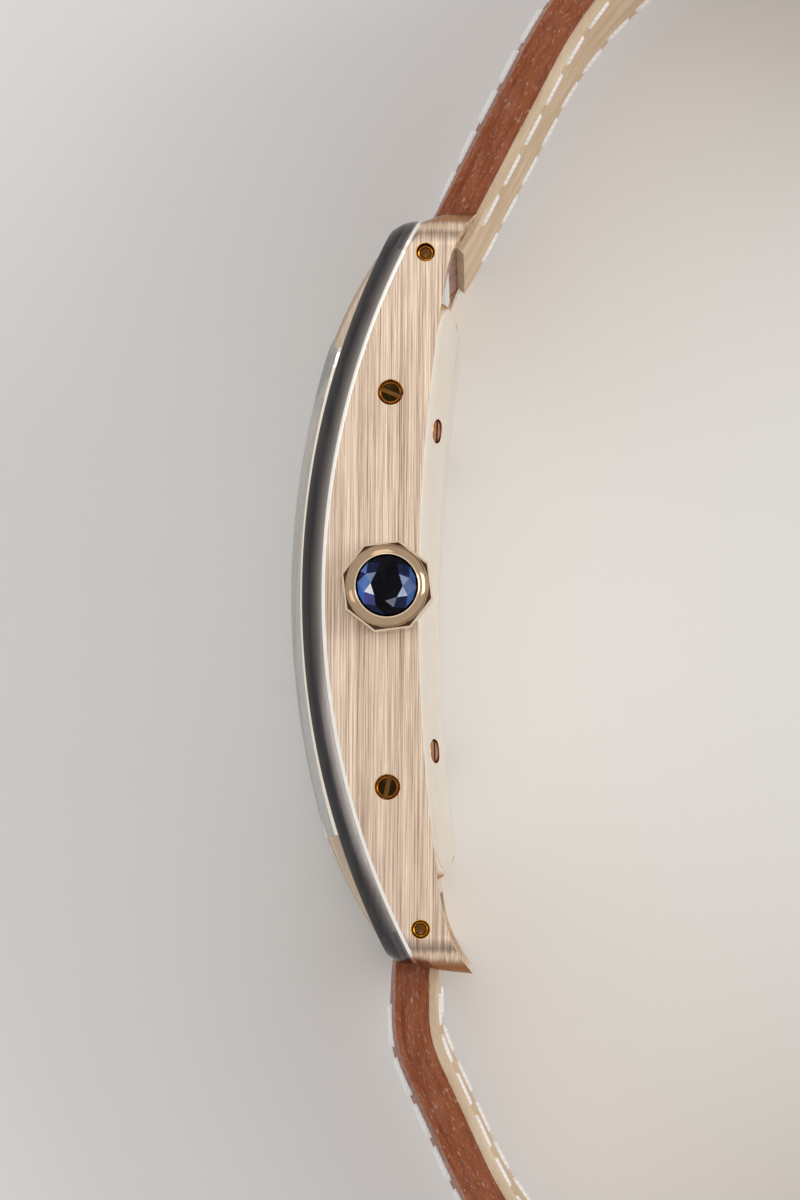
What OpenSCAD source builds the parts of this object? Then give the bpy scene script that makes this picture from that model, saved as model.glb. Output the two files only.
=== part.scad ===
// Rectangular curved watch, lying on its 9 o'clock flank with the crown up.
// Pieces are drawn in the watch's own axes: x to the crown, y to 12 o'clock, z out of the dial.
// place() lays them down: crown to +Z, dial to -Y, 12 o'clock to -X.

/* [Case] */
// Width over the two flanks
case_w = 26.6; // [26.2:0.1:28]
// Length from lug tip to lug tip
case_l = 45; // [44.4:0.1:46.5]
// Radius of the curved front of the rails
front_r = 47; // [45:0.5:52]
// Height of the rail crest above the reference plane
crest_z = 4.15; // [4:0.05:4.4]
// Width of the polished bevel beside the brushed flank
bevel = 1.27; // [0.8:0.05:1.4]
// Depth of the brushed flank at mid length
flank_depth = 5.6; // [5.5:0.1:6.4]
// Radius of the hollow back of the rails
back_r = 115; // [105:1:130]
// Radius of the flare under each lug tip
flare_r = 8.1; // [7:0.1:10]
// Distance from mid length at which the flare starts
flare_y = 18.5; // [18.2:0.1:19]
// Lean of the lug ends, sideways per height
tip_lean = 0.11; // [0.05:0.01:0.16]
// How far the bevel's corner lies beyond the corner of the outline
tip_shift = 0.3; // [0.1:0.05:0.5]
// Corner radius of the lug tips seen from the front
tip_corner_r = 2.3; // [1:0.1:3]
// Rise of the end bars over the rails
hood_rise = 0.65; // [0.4:0.05:0.9]

/* [Crystal and dial] */
// Length of the crystal
crystal_l = 30.3; // [29.6:0.1:30.4]
// Width of the crystal
crystal_w = 22.6; // [22:0.1:22.7]
// Thickness of the crystal
crystal_t = 1.2; // [0.9:0.05:1.3]
// Height of the crystal's crown above the reference plane
crystal_z = 4.8; // [4.7:0.05:5]
// Radius of the crystal's outer face
crystal_r = 50; // [47:0.5:54]
// Width of the bright rim round the crystal
rim_w = 0.45; // [0.3:0.05:0.5]
// Thickness of the dial
dial_t = 0.3; // [0.2:0.05:0.35]

/* [Back] */
// Thickness of the case back at its middle
back_t = 1.23; // [1.1:0.05:1.5]
// Length of the case back
back_l = 34.8; // [33.5:0.1:35]
// Step between the flank and the edge of the case back
back_inset = 0.4; // [0.3:0.05:0.6]
// Width of the rounded side of the case back
back_side = 4.2; // [3.4:0.1:5.4]
// Half the distance between back screws along the case
back_screw_y = 9.5; // [8:0.1:10.5]

/* [Screws] */
// Half the distance between flank screws along the case
flank_screw_y = 11.6; // [11.2:0.1:12]
// Diameter of the slotted screw heads
screw_head_d = 1.38; // [1.2:0.02:1.5]
// Width of the screw slots
slot_w = 0.27; // [0.2:0.01:0.35]

/* [Crown] */
// Width of the crown across its flats
crown_af = 5.1; // [4.8:0.1:5.4]
// Length of the crown's octagon
crown_l = 2.8; // [2.6:0.1:3.2]
// Diameter of the polished ring round the stone
crown_ring_d = 4.8; // [4.4:0.05:4.9]
// Visible diameter of the stone
stone_d = 3.46; // [3:0.02:3.7]
// Gap between crown and flank
crown_gap = 0.25; // [0.2:0.05:0.5]
// How far the crown pulls out to set the hands
crown_pull = 1; // [0.6:0.1:1.2]

/* [Strap] */
// Width of the strap between the lugs
strap_w = 20; // [19:0.1:20]
// Width of the strap at the buckle
strap_end_w = 16.8; // [16:0.1:17]
// Thickness of the leather
leather_t = 2.15; // [2:0.05:2.3]
// Thickness of the lining
lining_t = 0.58; // [0.4:0.02:0.7]
// Diameter of the lug bars
lug_bar_d = 1; // [0.9:0.02:1]
// Distance of the lug bars from mid length
lug_bar_y = 19.9; // [19.8:0.05:20.1]
// Number of buckle holes
strap_holes = 6; // [3:1:6]
// Distance between buckle holes
hole_pitch = 5; // [4:0.2:5.2]
// Diameter of the buckle holes
hole_d = 1.9; // [1.6:0.1:2.2]

/* [Buckle] */
// Length of the buckle from its bar to its far edge
buckle_l = 12; // [11:0.5:14]
// Thickness of the buckle frame
buckle_t = 1.8; // [1.6:0.1:2.2]
// Width of each arm of the buckle
buckle_arm_w = 1.7; // [1.4:0.1:2.2]
// Diameter of the buckle bar
buckle_bar_d = 1.1; // [1:0.05:1.2]
// Width of the tang
tang_w = 1.7; // [1.4:0.1:1.8]

/* [Movement] */
// Half width of the movement
move_hx = 8.9; // [8.8:0.05:9]
// Half length of the movement
move_hy = 12.7; // [12.6:0.05:12.8]
// Wall of the casing ring beside the movement
ring_wall = 1.7; // [1.6:0.05:1.8]
// Module of the train's teeth
train_m = 0.1; // [0.096:0.001:0.1]
// Thickness of the train's wheels
wheel_t = 0.15; // [0.12:0.01:0.16]
// Centre distance of the motion works
motion_cd = 2.88; // [2.7:0.02:2.9]
// Length of the minute hand
minute_l = 8.6; // [7:0.1:9]
// Length of the hour hand
hour_l = 5.6; // [4.5:0.1:6]

/* [Hidden] */
$fn = 48;

// Case levels, all at mid length unless they say otherwise
half_w = case_w / 2;
tip_y = case_l / 2;
tip_back_z = -6.1;
tip_step = 0.03;
front_cz = crest_z - front_r;
flank_back_z = crest_z - bevel - flank_depth;
back_cz = flank_back_z - back_r;
stem_z = -0.95;
space_hx = move_hx + ring_wall;
space_hy = move_hy + ring_wall + 0.2;
back_w = case_w - 2 * back_inset;
back_flat_w = back_w - 2 * back_side;
space_r = 1.5;

// Crystal, rim and dial share one centre of curvature
glass_cz = crystal_z - crystal_r;
glass_in_r = crystal_r - crystal_t;
gasket_t = 0.3;
seat_r = glass_in_r - gasket_t;
rim_r = crystal_r - 0.55;
glass_hx = crystal_w / 2;
glass_hy = crystal_l / 2;
glass_corner = 2;
fit = 0.03;
rim_hx = glass_hx + fit + rim_w;
rim_hy = glass_hy + fit + rim_w;
sight_hx = glass_hx - 1.4;
sight_hy = glass_hy - 1.35;
dial_drop = 3.35;
dial_r = crystal_r - dial_drop;
lip_r = dial_r + fit;
plate_r = dial_r - dial_t - fit;
dial_hx = space_hx - 0.2;
dial_hy = space_hy - 0.2;
dial_hole_r = 1;

// Lug bars and the room for the strap
lug_bar_r = lug_bar_d / 2;
lug_bar_z = -3;
lug_gap_hx = strap_w / 2 + 0.15;
lug_hole_r = lug_bar_r + 0.025;
strap_room_r = 2.1;
hood_end_y = 20.8;

// Screws
head_r = screw_head_d / 2;
flank_screw_z = -1;
screw_shank_r = 0.4;
screw_head_t = 0.5;
screw_sink = 0.25;
flank_shank_l = half_w - screw_sink - screw_head_t - move_hx - 0.45;

// Works: the train lies between a pocket in the mainplate and the bridges
pocket_z = -0.5;
plate_z = -1.15;
bridge_z = -2.35;
bridge_t = 0.4;
pocket_hx = move_hx - 0.7;
pocket_hy = move_hy - 2.9;
bridge_end = move_hy - 0.9;
pivot_r = 0.1;
jewel_r = 0.34;
jewel_bore_r = pivot_r + 0.03;

// Teeth and places of the train
barrel_teeth = 84;
center_pinion_teeth = 12;
center_teeth = 72;
third_pinion_teeth = 8;
third_teeth = 60;
fourth_pinion_teeth = 9;
fourth_teeth = 63;
escape_pinion_teeth = 7;
function mesh(a, b) = (a + b) * train_m / 2;
function polar(r, a) = [r * cos(a), r * sin(a)];
barrel_dir = 105;
third_dir = 225;
fourth_dir = 300;
escape_dir = 335;
center_p = [0, 0];
barrel_p = center_p + polar(mesh(barrel_teeth, center_pinion_teeth), barrel_dir);
third_p = center_p + polar(mesh(center_teeth, third_pinion_teeth), third_dir);
fourth_p = third_p + polar(mesh(third_teeth, fourth_pinion_teeth), fourth_dir);
escape_p = fourth_p + polar(mesh(fourth_teeth, escape_pinion_teeth), escape_dir);
balance_p = [5.3, -5.2];
escape_r = 1.9;
to_balance = balance_p - escape_p;
lever_dir = atan2(to_balance[1], to_balance[0]);
pallet_p = escape_p + polar(escape_r + 0.2, lever_dir);

// Motion works: 12 to 36 teeth, then 10 to 40, so the hour hand turns once in twelve turns
cannon_teeth = 12;
minute_teeth = 36;
minute_pinion_teeth = 10;
hour_teeth = 40;
motion_m1 = 2 * motion_cd / (cannon_teeth + minute_teeth);
motion_m2 = 2 * motion_cd / (minute_pinion_teeth + hour_teeth);
motion_dir = 150;
minute_p = polar(motion_cd, motion_dir);
motion_floor_z = 0.15;
minute_hand_z = 2.3;
hour_hand_z = 1.85;
hand_t = 0.12;
minute_hand_a = 60;
hour_hand_a = 305;

// Crown, measured outwards from the flank
crown_x0 = half_w + crown_gap;
crown_x1 = crown_x0 + crown_l;
crown_top = crown_x1 + 0.7;
stem_r = 0.35;
tube_r = 1.1;
tube_out = 1.2;

// Buckle
buckle_clear = 0.2;
buckle_in_hx = strap_end_w / 2 + buckle_clear;
buckle_hx = buckle_in_hx + buckle_arm_w;
buckle_eye_r = 1.2;
tang_gap_hx = tang_w / 2 + buckle_clear;

// Strap routes: each run is [length, heading at its end]; heading 0 is straight out of the case
// and 90 straight down behind it
lug_swing_12 = 45;
runs_12 = [[1.5, 45], [0.8, 27], [12, 27], [43, 125], [18, 125]];
lug_swing_6 = -8;
runs_6 = [[1.8, -8], [0.8, 0], [2.4, 0], [3.2, 25], [6.3, 25], [50, 140], [45.5, 140]];
ring_step = 2;
strap_t = leather_t + lining_t;
strap_crown = 0.35;

// Lays a piece drawn in the watch's axes on its 9 o'clock flank
module place() {
    translate([0, 0, half_w]) rotate([0, -90, 0]) rotate([90, 0, 0]) children();
}

// Puts a shape round z onto an axis along x at height cz, its own x pointing to -z
module about_x(cz, y = 0) {
    translate([0, y, cz]) rotate([0, 90, 0]) children();
}

module disc_x(r, hx, cz, y = 0) {
    about_x(cz, y) cylinder(r = r, h = 2 * hx, center = true, $fn = 180);
}

// Copies to both ends of the case
module both_ends() {
    children();
    mirror([0, 1, 0]) children();
}

module both_sides() {
    children();
    mirror([1, 0, 0]) children();
}

// Rectangle with round corners, from its half sides
module round_rect(hx, hy, r) {
    square([2 * hx, 2 * (hy - r)], center = true);
    square([2 * (hx - r), 2 * hy], center = true);
    for (sx = [-1, 1], sy = [-1, 1])
        translate([sx * (hx - r), sy * (hy - r)]) circle(r);
}

module prism(hx, hy, r, z0 = -9, z1 = 9) {
    translate([0, 0, z0]) linear_extrude(z1 - z0) round_rect(hx, hy, r);
}

module frame_prism(hx, hy, r, w) {
    translate([0, 0, -9]) linear_extrude(18) difference() {
        round_rect(hx, hy, r);
        round_rect(hx - w, hy - w, max(r - w, 0.2));
    }
}

// Curved plate between two radii about one axis along x
module curved(r0, r1, cz, hx = 14) {
    difference() {
        disc_x(r1, hx, cz);
        disc_x(r0, hx + 1, cz);
    }
}

// A shape drawn in y and z, drawn out along x
module along_x(hx) {
    rotate([90, 0, 90]) linear_extrude(2 * hx, center = true) children();
}

// Cylinder along x from x0 to x1
module rod_x(r, x0, x1, y, z) {
    translate([x0, y, z]) rotate([0, 90, 0]) cylinder(r = r, h = x1 - x0);
}

// Case

// Bevel between front and flank as [out from the edge, up from the front surface]
shoulder = [for (i = [0:4]) let (a = 90 * i / 4, bulge = 0.12 * sin(2 * a))
    [bulge - bevel * i / 4, bulge + bevel * (i / 4 - 1)]];

// Half section of the case across its width, from the centre of curvature outwards
module rail_section() {
    upper = [for (p = shoulder) [front_r + p[1], half_w + p[0]]];
    lower = [for (i = [4:-1:0]) [upper[i][0], -upper[i][1]]];
    polygon(concat([[front_r - 14, half_w]], upper, lower, [[front_r - 14, -half_w]]));
}

// Side view: leaning lug ends over a hollow back that flares below them
module side_profile() {
    flare_a = asin(flare_y / back_r);
    end_top_y = tip_y - tip_lean * (8 - tip_back_z);
    difference() {
        polygon([[-tip_y, -8], [tip_y, -8], [tip_y, tip_back_z], [end_top_y, 8], [-end_top_y, 8],
                 [-tip_y, tip_back_z]]);
        intersection() {
            translate([0, back_cz]) circle(back_r, $fn = 180);
            translate([-flare_y, -12]) square([2 * flare_y, 14]);
        }
        for (s = [-1, 1])
            intersection() {
                translate([s * (flare_y - flare_r * sin(flare_a)),
                           back_cz + (back_r - flare_r) * cos(flare_a)]) circle(flare_r);
                translate([s > 0 ? flare_y - 0.01 : -30, -12]) square([30 - flare_y + 0.01, 14]);
            }
    }
}

// What the bevel cuts away round the two corners of a lug end, square to the front surface there
module tip_bevel() {
    corner_y = tip_y - tip_corner_r + tip_shift;
    corner_x = half_w - tip_corner_r;
    reach = 4;
    keep = concat([[0, -reach - bevel], [tip_corner_r + reach, -reach - bevel]],
                  [for (p = shoulder) [tip_corner_r - tip_step + p[0], p[1]]],
                  [[0, tip_corner_r - tip_step - bevel]]);
    lie = asin(corner_y / front_r);
    translate([0, corner_y, front_cz + front_r * cos(lie)]) rotate([-lie, 0, 0]) difference() {
        translate([-half_w - 1, 0, -reach]) cube([2 * half_w + 2, reach + 1, reach + 3]);
        both_sides() translate([corner_x, 0, 0]) rotate_extrude($fn = 96) polygon(keep);
        rotate([90, 0, 90]) linear_extrude(2 * corner_x, center = true)
            polygon(concat([[-1, -reach - bevel]], [for (i = [1:len(keep) - 1]) keep[i]],
                           [[-1, tip_corner_r - tip_step - bevel]]));
    }
}

// End bar over the strap, a little proud of the rails
module hood() {
    hood_r = front_r + hood_rise;
    round_r = 0.9;
    along_x(rim_hx - 0.35) difference() {
        intersection() {
            translate([0, front_cz]) circle(hood_r, $fn = 180);
            translate([space_hy - 0.5, flank_back_z + 0.2]) square([hood_end_y - space_hy + 0.5, 9]);
        }
        translate([hood_end_y - round_r, front_cz + (hood_r - round_r) * cos(asin(hood_end_y / hood_r))])
            difference() {
                square([3, 3]);
                circle(round_r);
            }
    }
}

module strap_room() {
    for (s = [-1, 1]) {
        rod_x(strap_room_r, -lug_gap_hx, lug_gap_hx, s * lug_bar_y, lug_bar_z);
        y0 = lug_bar_y - strap_room_r;
        translate([-lug_gap_hx, s > 0 ? y0 : -y0 - 9, -12]) cube([2 * lug_gap_hx, 9, 12 + lug_bar_z]);
        translate([-lug_gap_hx, s > 0 ? hood_end_y : -hood_end_y - 9, -12]) cube([2 * lug_gap_hx, 9, 20]);
    }
}

module case_body() color("#d9b790") place() difference() {
    union() {
        intersection() {
            about_x(front_cz) rotate_extrude($fn = 180) rail_section();
            along_x(half_w + 1) side_profile();
            prism(half_w, tip_y, tip_corner_r);
        }
        both_ends() hood();
    }
    both_ends() tip_bevel();
    strap_room();
    intersection() {
        prism(space_hx, space_hy, space_r);
        disc_x(lip_r, 14, glass_cz);
    }
    prism(sight_hx, sight_hy, space_r);
    intersection() {
        prism(rim_hx, rim_hy, glass_corner + rim_w);
        difference() {
            disc_x(80, 14, glass_cz);
            disc_x(seat_r, 15, glass_cz);
        }
    }
    for (s = [-1, 1]) {
        rod_x(lug_hole_r, -half_w - 1, half_w + 1, s * lug_bar_y, lug_bar_z);
        rod_x(screw_shank_r, -half_w - 1, half_w + 1, s * flank_screw_y, flank_screw_z);
        both_sides()
            rod_x(head_r + fit, half_w - screw_sink - screw_head_t, half_w + 1, s * flank_screw_y, flank_screw_z);
        both_sides() back_screw_at(s) translate([0, 0, -3]) cylinder(r = screw_shank_r, h = 5);
    }
    rod_x(tube_r, space_hx - 1, half_w + 1, 0, stem_z);
}

module bezel() color("#f0dcc0") place() intersection() {
    frame_prism(rim_hx - fit / 2, rim_hy - fit / 2, glass_corner + rim_w, rim_w);
    curved(seat_r, rim_r, glass_cz);
}

module crystal() color("#cfe0e8", 0.4) place() intersection() {
    prism(glass_hx, glass_hy, glass_corner);
    curved(glass_in_r, crystal_r, glass_cz);
}

module crystal_gasket() color("#303030") place() intersection() {
    frame_prism(glass_hx - 0.1, glass_hy - 0.1, glass_corner, 0.9);
    curved(seat_r, glass_in_r, glass_cz);
}

module dial() color("#efe6d2") place() difference() {
    intersection() {
        prism(dial_hx, dial_hy, space_r);
        curved(dial_r - dial_t, dial_r, glass_cz);
    }
    cylinder(r = dial_hole_r, h = 20, center = true);
}

// Twelve applied batons along a rectangle, each lying on the curved dial
module hour_markers() color("#c89a6a") place()
    for (i = [0:11]) {
        a = 30 * i;
        hx = sight_hx - 2.2;
        hy = sight_hy - 2.3;
        reach = min(hx / max(abs(sin(a)), 0.01), hy / max(abs(cos(a)), 0.01));
        y = reach * cos(a);
        translate([reach * sin(a), 0, glass_cz]) rotate([-asin(y / dial_r), 0, 0])
            translate([0, 0, dial_r]) rotate([0, 0, -a])
                translate([-0.28, -1.3, 0]) cube([0.56, 2.6, 0.16]);
    }

// Frame between case and movement; the movement rests on its inner shoulder
module casing_ring() color("#b9b2a4") place() difference() {
    intersection() {
        prism(space_hx - 0.1, space_hy - 0.1, space_r);
        disc_x(plate_r, 14, glass_cz);
    }
    disc_x(back_r + gasket_t, 14, back_cz);
    prism(move_hx + fit, move_hy + fit, 1, plate_z);
    prism(move_hx - 0.5, move_hy - 0.5, 1);
    for (s = [-1, 1])
        rod_x(screw_shank_r, -half_w, half_w, s * flank_screw_y, flank_screw_z);
    rod_x(stem_r + 0.15, 0, half_w, 0, stem_z);
}

// Case back, hollow along the wrist and rounded across it
module back_solid() {
    side_r = 7.8;
    edge_r = back_r - back_t;
    flat = back_flat_w / 2;
    about_x(back_cz) rotate_extrude($fn = 180) difference() {
        translate([edge_r, -back_w / 2]) square([back_t, back_w]);
        for (s = [-1, 1])
            difference() {
                translate([edge_r - 1, s > 0 ? flat : -flat - 9]) square([back_t + 2, 9]);
                translate([edge_r + side_r, s * flat]) circle(side_r, $fn = 90);
            }
    }
}

module back_outline() {
    round_r = 2.2;
    half = back_l / 2;
    edge_z = back_cz + sqrt(pow(back_r - back_t, 2) - pow(half - round_r, 2));
    difference() {
        translate([-half, -9]) square([back_l, 12]);
        for (s = [-1, 1])
            translate([s * (half - round_r), edge_z + round_r]) difference() {
                translate([s > 0 ? 0 : -3, -3 - round_r]) square([3, 3 + round_r]);
                circle(round_r);
            }
    }
}

module case_back() color("#f1e3cd") place() difference() {
    intersection() {
        back_solid();
        along_x(half_w) back_outline();
        prism(back_w / 2, back_l / 2, 2.6);
    }
    intersection() {
        prism(space_hx - 0.6, space_hy - 0.6, space_r);
        difference() {
            disc_x(back_r + 1, 14, back_cz);
            disc_x(back_r - 0.16, 15, back_cz);
        }
    }
    for (s = [-1, 1]) both_sides() back_screw_at(s) {
        cylinder(r = head_r + fit, h = 3);
        translate([0, 0, -3]) cylinder(r = screw_shank_r, h = 4);
    }
}

module back_gasket() color("#303030") place() intersection() {
    frame_prism(space_hx - 0.05, space_hy - 0.05, space_r, 0.45);
    curved(back_r, back_r + gasket_t, back_cz);
}

// Seat of a back screw: origin under its head, +z out of the back, square to the rounded side
back_screw_x = space_hx + 0.8;
back_screw_lean = 20;
module back_screw_at(s) {
    lie = asin(s * back_screw_y / back_r);
    drop = 7.8 * (1 - cos(back_screw_lean)) + screw_head_t + 0.1;
    translate([back_screw_x, 0, back_cz]) rotate([-lie, 0, 0])
        translate([0, 0, back_r - back_t + drop]) rotate([0, 180 - back_screw_lean, 0]) children();
}

// Slotted screw along z, its head above the origin and its shank below
module slotted_screw(shank_l, slot_a) {
    difference() {
        union() {
            cylinder(r = head_r, h = screw_head_t);
            translate([0, 0, -shank_l]) cylinder(r = screw_shank_r, h = shank_l + 0.1);
        }
        rotate([0, 0, slot_a])
            translate([-head_r - 1, -slot_w / 2, screw_head_t - 0.22]) cube([2 * head_r + 2, slot_w, 1]);
    }
}

module flank_screws() color("#b8763c") place()
    for (side = [0, 1], s = [-1, 1])
        mirror([side, 0, 0])
            translate([half_w - screw_sink - screw_head_t, s * flank_screw_y, flank_screw_z])
                rotate([0, 90, 0]) slotted_screw(flank_shank_l, s > 0 ? -22 : 78);

module back_screws() color("#b8763c") place()
    for (s = [-1, 1]) both_sides() back_screw_at(s) slotted_screw(1.2, 90 - 10 * s);

module lug_bar(s) {
    rod_x(lug_bar_r, -half_w + 0.7, half_w - 0.7, s * lug_bar_y, lug_bar_z);
}

module lug_bar_12() color("#a86a34") place() lug_bar(1);
module lug_bar_6() color("#a86a34") place() lug_bar(-1);

// Crown, drawn along z from the flank and laid along the stem
module on_stem() {
    place() translate([0, 0, stem_z]) rotate([0, 90, 0]) children();
}

module crown_tube() color("#b8b0a4") on_stem() difference() {
    translate([0, 0, space_hx]) cylinder(r = tube_r, h = half_w - space_hx + tube_out);
    cylinder(r = stem_r + 0.2, h = 30);
}

stone_seat_z = crown_top - 0.35;
module crown() color("#d2a070") on_stem() difference() {
    corner_r = crown_af / 2 / cos(22.5);
    ring_r = crown_ring_d / 2;
    intersection() {
        translate([0, 0, crown_x0]) rotate([0, 0, 30])
            cylinder(r = corner_r, h = crown_top - crown_x0, $fn = 8);
        translate([0, 0, crown_x0]) rotate_extrude($fn = 96) polygon([
            [0, 0], [corner_r - 0.5, 0], [corner_r, 0.4], [corner_r, crown_l - 0.25],
            [corner_r - 0.12, crown_l - 0.08], [ring_r, crown_l + 0.45], [ring_r - 0.1, crown_l + 0.6],
            [ring_r - 0.35, crown_top - crown_x0], [0, crown_top - crown_x0]]);
    }
    translate([0, 0, crown_x0 - 1]) cylinder(r = tube_r + 0.2, h = 1 + tube_out + 0.3);
    cylinder(r = stem_r, h = crown_x0 + 2.3);
    translate([0, 0, stone_seat_z]) cylinder(r1 = stone_d / 2 - 0.25, r2 = stone_d / 2 + 0.02, h = 0.36);
}

// Brilliant with an octagonal table, eight star facets and eight kites
module crown_stone() color("#1d2f66") on_stem() translate([0, 0, stone_seat_z]) {
    girdle_r = stone_d / 2;
    hull() {
        translate([0, 0, 0.001]) cylinder(r1 = girdle_r - 0.26, r2 = girdle_r, h = 0.34, $fn = 16);
        translate([0, 0, 0.38]) rotate([0, 0, 11.25]) cylinder(r = girdle_r, h = 0.04, $fn = 16);
        translate([0, 0, 0.72]) rotate([0, 0, 30 + 22.5]) cylinder(r = girdle_r * 0.78, h = 0.01, $fn = 8);
        translate([0, 0, 0.98]) rotate([0, 0, 30]) cylinder(r = girdle_r * 0.55, h = 0.01, $fn = 8);
    }
}

module crown_gasket() color("#303030") on_stem() translate([0, 0, crown_x0 + 0.4]) difference() {
    cylinder(r = tube_r + 0.2, h = 0.5);
    translate([0, 0, -1]) cylinder(r = tube_r + 0.03, h = 3);
}

clutch_x = 6.2;
clutch_l = 0.9;
clutch_teeth = 14;
clutch_m = 0.08;
clutch_room_r = (clutch_teeth / 2 + 1) * clutch_m + 0.1;
lever_groove_x = 4.9;
module stem() color("#c4c8cc") on_stem() difference() {
    translate([0, 0, 4.4]) cylinder(r = stem_r, h = crown_x0 + 2.3 - 4.4);
    translate([0, 0, lever_groove_x]) difference() {
        cylinder(r = 1, h = 0.35);
        translate([0, 0, -1]) cylinder(r = 0.2, h = 3);
    }
}

module clutch_wheel() color("#c8a860") on_stem() translate([0, 0, clutch_x]) difference() {
    linear_extrude(clutch_l) gear(clutch_teeth, clutch_m, 0);
    translate([0, 0, -1]) cylinder(r = stem_r, h = 3);
}

// Fork in the groove of the stem, which carries the stem in and out
module setting_lever() color("#c4c8cc") on_stem() translate([0, 0, lever_groove_x + 0.05]) difference() {
    translate([-0.35, -0.75, 0]) cube([0.7, 2.2, 0.25]);
    translate([0, 0, -1]) cylinder(r = 0.24, h = 3);
    translate([-0.24, -2, -1]) cube([0.48, 2, 3]);
}

// Movement

// Outline of a gear; its first tooth points along dir
module gear(teeth, m, dir) {
    pitch_r = teeth * m / 2;
    root_r = pitch_r - 1.25 * m;
    tip_r = pitch_r + 0.85 * m;
    step = 360 / teeth;
    polygon([for (i = [0:teeth - 1]) each [
        polar(root_r, dir + step * (i - 0.26)), polar(tip_r, dir + step * (i - 0.1)),
        polar(tip_r, dir + step * (i + 0.1)), polar(root_r, dir + step * (i + 0.26))]]);
}

// Wheel with its teeth, spokes and hub, from z upwards
module wheel(teeth, m, dir, z, spokes = 4) {
    rim = teeth * m / 2 - 1.25 * m - 0.28;
    translate([0, 0, z]) linear_extrude(wheel_t) difference() {
        gear(teeth, m, dir);
        difference() {
            circle(rim);
            circle(0.55);
            for (i = [0:spokes / 2 - 1])
                rotate([0, 0, 360 / spokes * i + 20]) square([2 * rim + 1, 0.35], center = true);
        }
    }
}

module pinion(teeth, m, dir, z0, z1) {
    translate([0, 0, z0]) linear_extrude(z1 - z0) gear(teeth, m, dir);
}

// Arbor with a pivot at each end, running in the mainplate and in a jewel
module arbor(r = 0.15) {
    translate([0, 0, bridge_z + 0.08]) cylinder(r = r, h = pocket_z - bridge_z - 0.16);
    translate([0, 0, bridge_z - 0.3]) cylinder(r = pivot_r, h = pocket_z + 0.3 - bridge_z + 0.3);
}

module pivot_hole(p) {
    translate([p[0], p[1], -9]) cylinder(r = jewel_bore_r, h = 9 + pocket_z + 0.35);
}

foot_y = pocket_hy + 0.2;
foot_depth = 1.8;
pillar_r = 0.7;
pillar_p = [[7, 1.9], [-7, 1.9], [-7.2, -0.3]];
screw_y = foot_y + foot_depth / 2;
screw_p = [[4, screw_y], [-4, screw_y], [5.5, -screw_y], [-5, -screw_y]];

module mainplate() color("#c9b07a") place() difference() {
    intersection() {
        prism(move_hx, move_hy, 1, plate_z);
        disc_x(plate_r, 14, glass_cz);
    }
    prism(pocket_hx, pocket_hy, 0.8, plate_z - 1, pocket_z);
    translate([0, 0, motion_floor_z]) cylinder(r = 2.7, h = 5);
    translate([minute_p[0], minute_p[1], motion_floor_z]) cylinder(r = 2.6, h = 5);
    cylinder(r = 0.31, h = 20, center = true);
    translate([minute_p[0], minute_p[1], -0.25]) cylinder(r = 0.2, h = 3);
    for (p = [barrel_p, third_p, fourth_p, escape_p, pallet_p, balance_p]) pivot_hole(p);
    translate([0, -0.55, plate_z - 1]) cube([move_hx + 1, 1.1, 1 + stem_z - plate_z]);
    rod_x(0.55, 0, move_hx + 1, 0, stem_z);
    rod_x(clutch_room_r, clutch_x - 0.15, clutch_x + clutch_l + crown_pull + 0.15, 0, stem_z);
    translate([clutch_x - 0.15, -clutch_room_r, plate_z - 1])
        cube([clutch_l + crown_pull + 0.3, 2 * clutch_room_r, 1 + stem_z - plate_z]);
    for (p = screw_p) translate([p[0], p[1], -9]) cylinder(r = 0.28, h = 9 + plate_z + 0.45);
}

// Plate of a bridge from its outline, with its feet on the mainplate
module bridge_plate() {
    translate([0, 0, bridge_z - bridge_t]) linear_extrude(bridge_t) children();
}

module foot(x0, x1, s) {
    translate([x0, s > 0 ? foot_y : -foot_y - foot_depth, bridge_z - 0.1])
        cube([x1 - x0, foot_depth, plate_z - bridge_z + 0.1]);
}

module pillar(p) {
    translate([p[0], p[1], bridge_z - 0.1]) cylinder(r = pillar_r, h = pocket_z - bridge_z + 0.1);
}

module screw_seat(p) {
    translate([p[0], p[1], -9]) cylinder(r = 0.28, h = 9 + plate_z + 1);
    translate([p[0], p[1], -9]) cylinder(r = 0.5 + fit, h = 9 + bridge_z - bridge_t + 0.25);
}

module jewel_seat(p) {
    translate([p[0], p[1], -9]) cylinder(r = jewel_r, h = 9 + bridge_z - bridge_t + 0.3);
    pivot_hole(p);
}

module barrel_bridge() color("#d8d2c4") place() difference() {
    union() {
        bridge_plate() translate([-8, 1.2]) square([16, bridge_end - 1.2]);
        foot(-6, 6, 1);
        pillar(pillar_p[0]);
        pillar(pillar_p[1]);
    }
    translate([barrel_p[0], barrel_p[1], -9]) cylinder(r = 0.33, h = 9);
    screw_seat(screw_p[0]);
    screw_seat(screw_p[1]);
}

module train_bridge() color("#d8d2c4") place() difference() {
    union() {
        bridge_plate() polygon([[-8, 0.9], [0.9, 0.9], [1, -5.2], [2.9, -6.2], [3, -8.4], [1.8, -9.4],
                                [0, -bridge_end], [-8, -bridge_end]]);
        foot(-7, -0.5, -1);
        pillar(pillar_p[2]);
    }
    for (p = [center_p, third_p, fourth_p, escape_p]) jewel_seat(p);
    screw_seat(screw_p[3]);
}

module balance_cock() color("#d8d2c4") place() difference() {
    union() {
        bridge_plate() {
            polygon([[3.6, -bridge_end], [7.4, -bridge_end], [6.5, -5.2], [4.1, -5.2]]);
            translate(balance_p) circle(1.2);
        }
        foot(3.6, 7.3, -1);
    }
    jewel_seat(balance_p);
    screw_seat(screw_p[2]);
}

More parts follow.
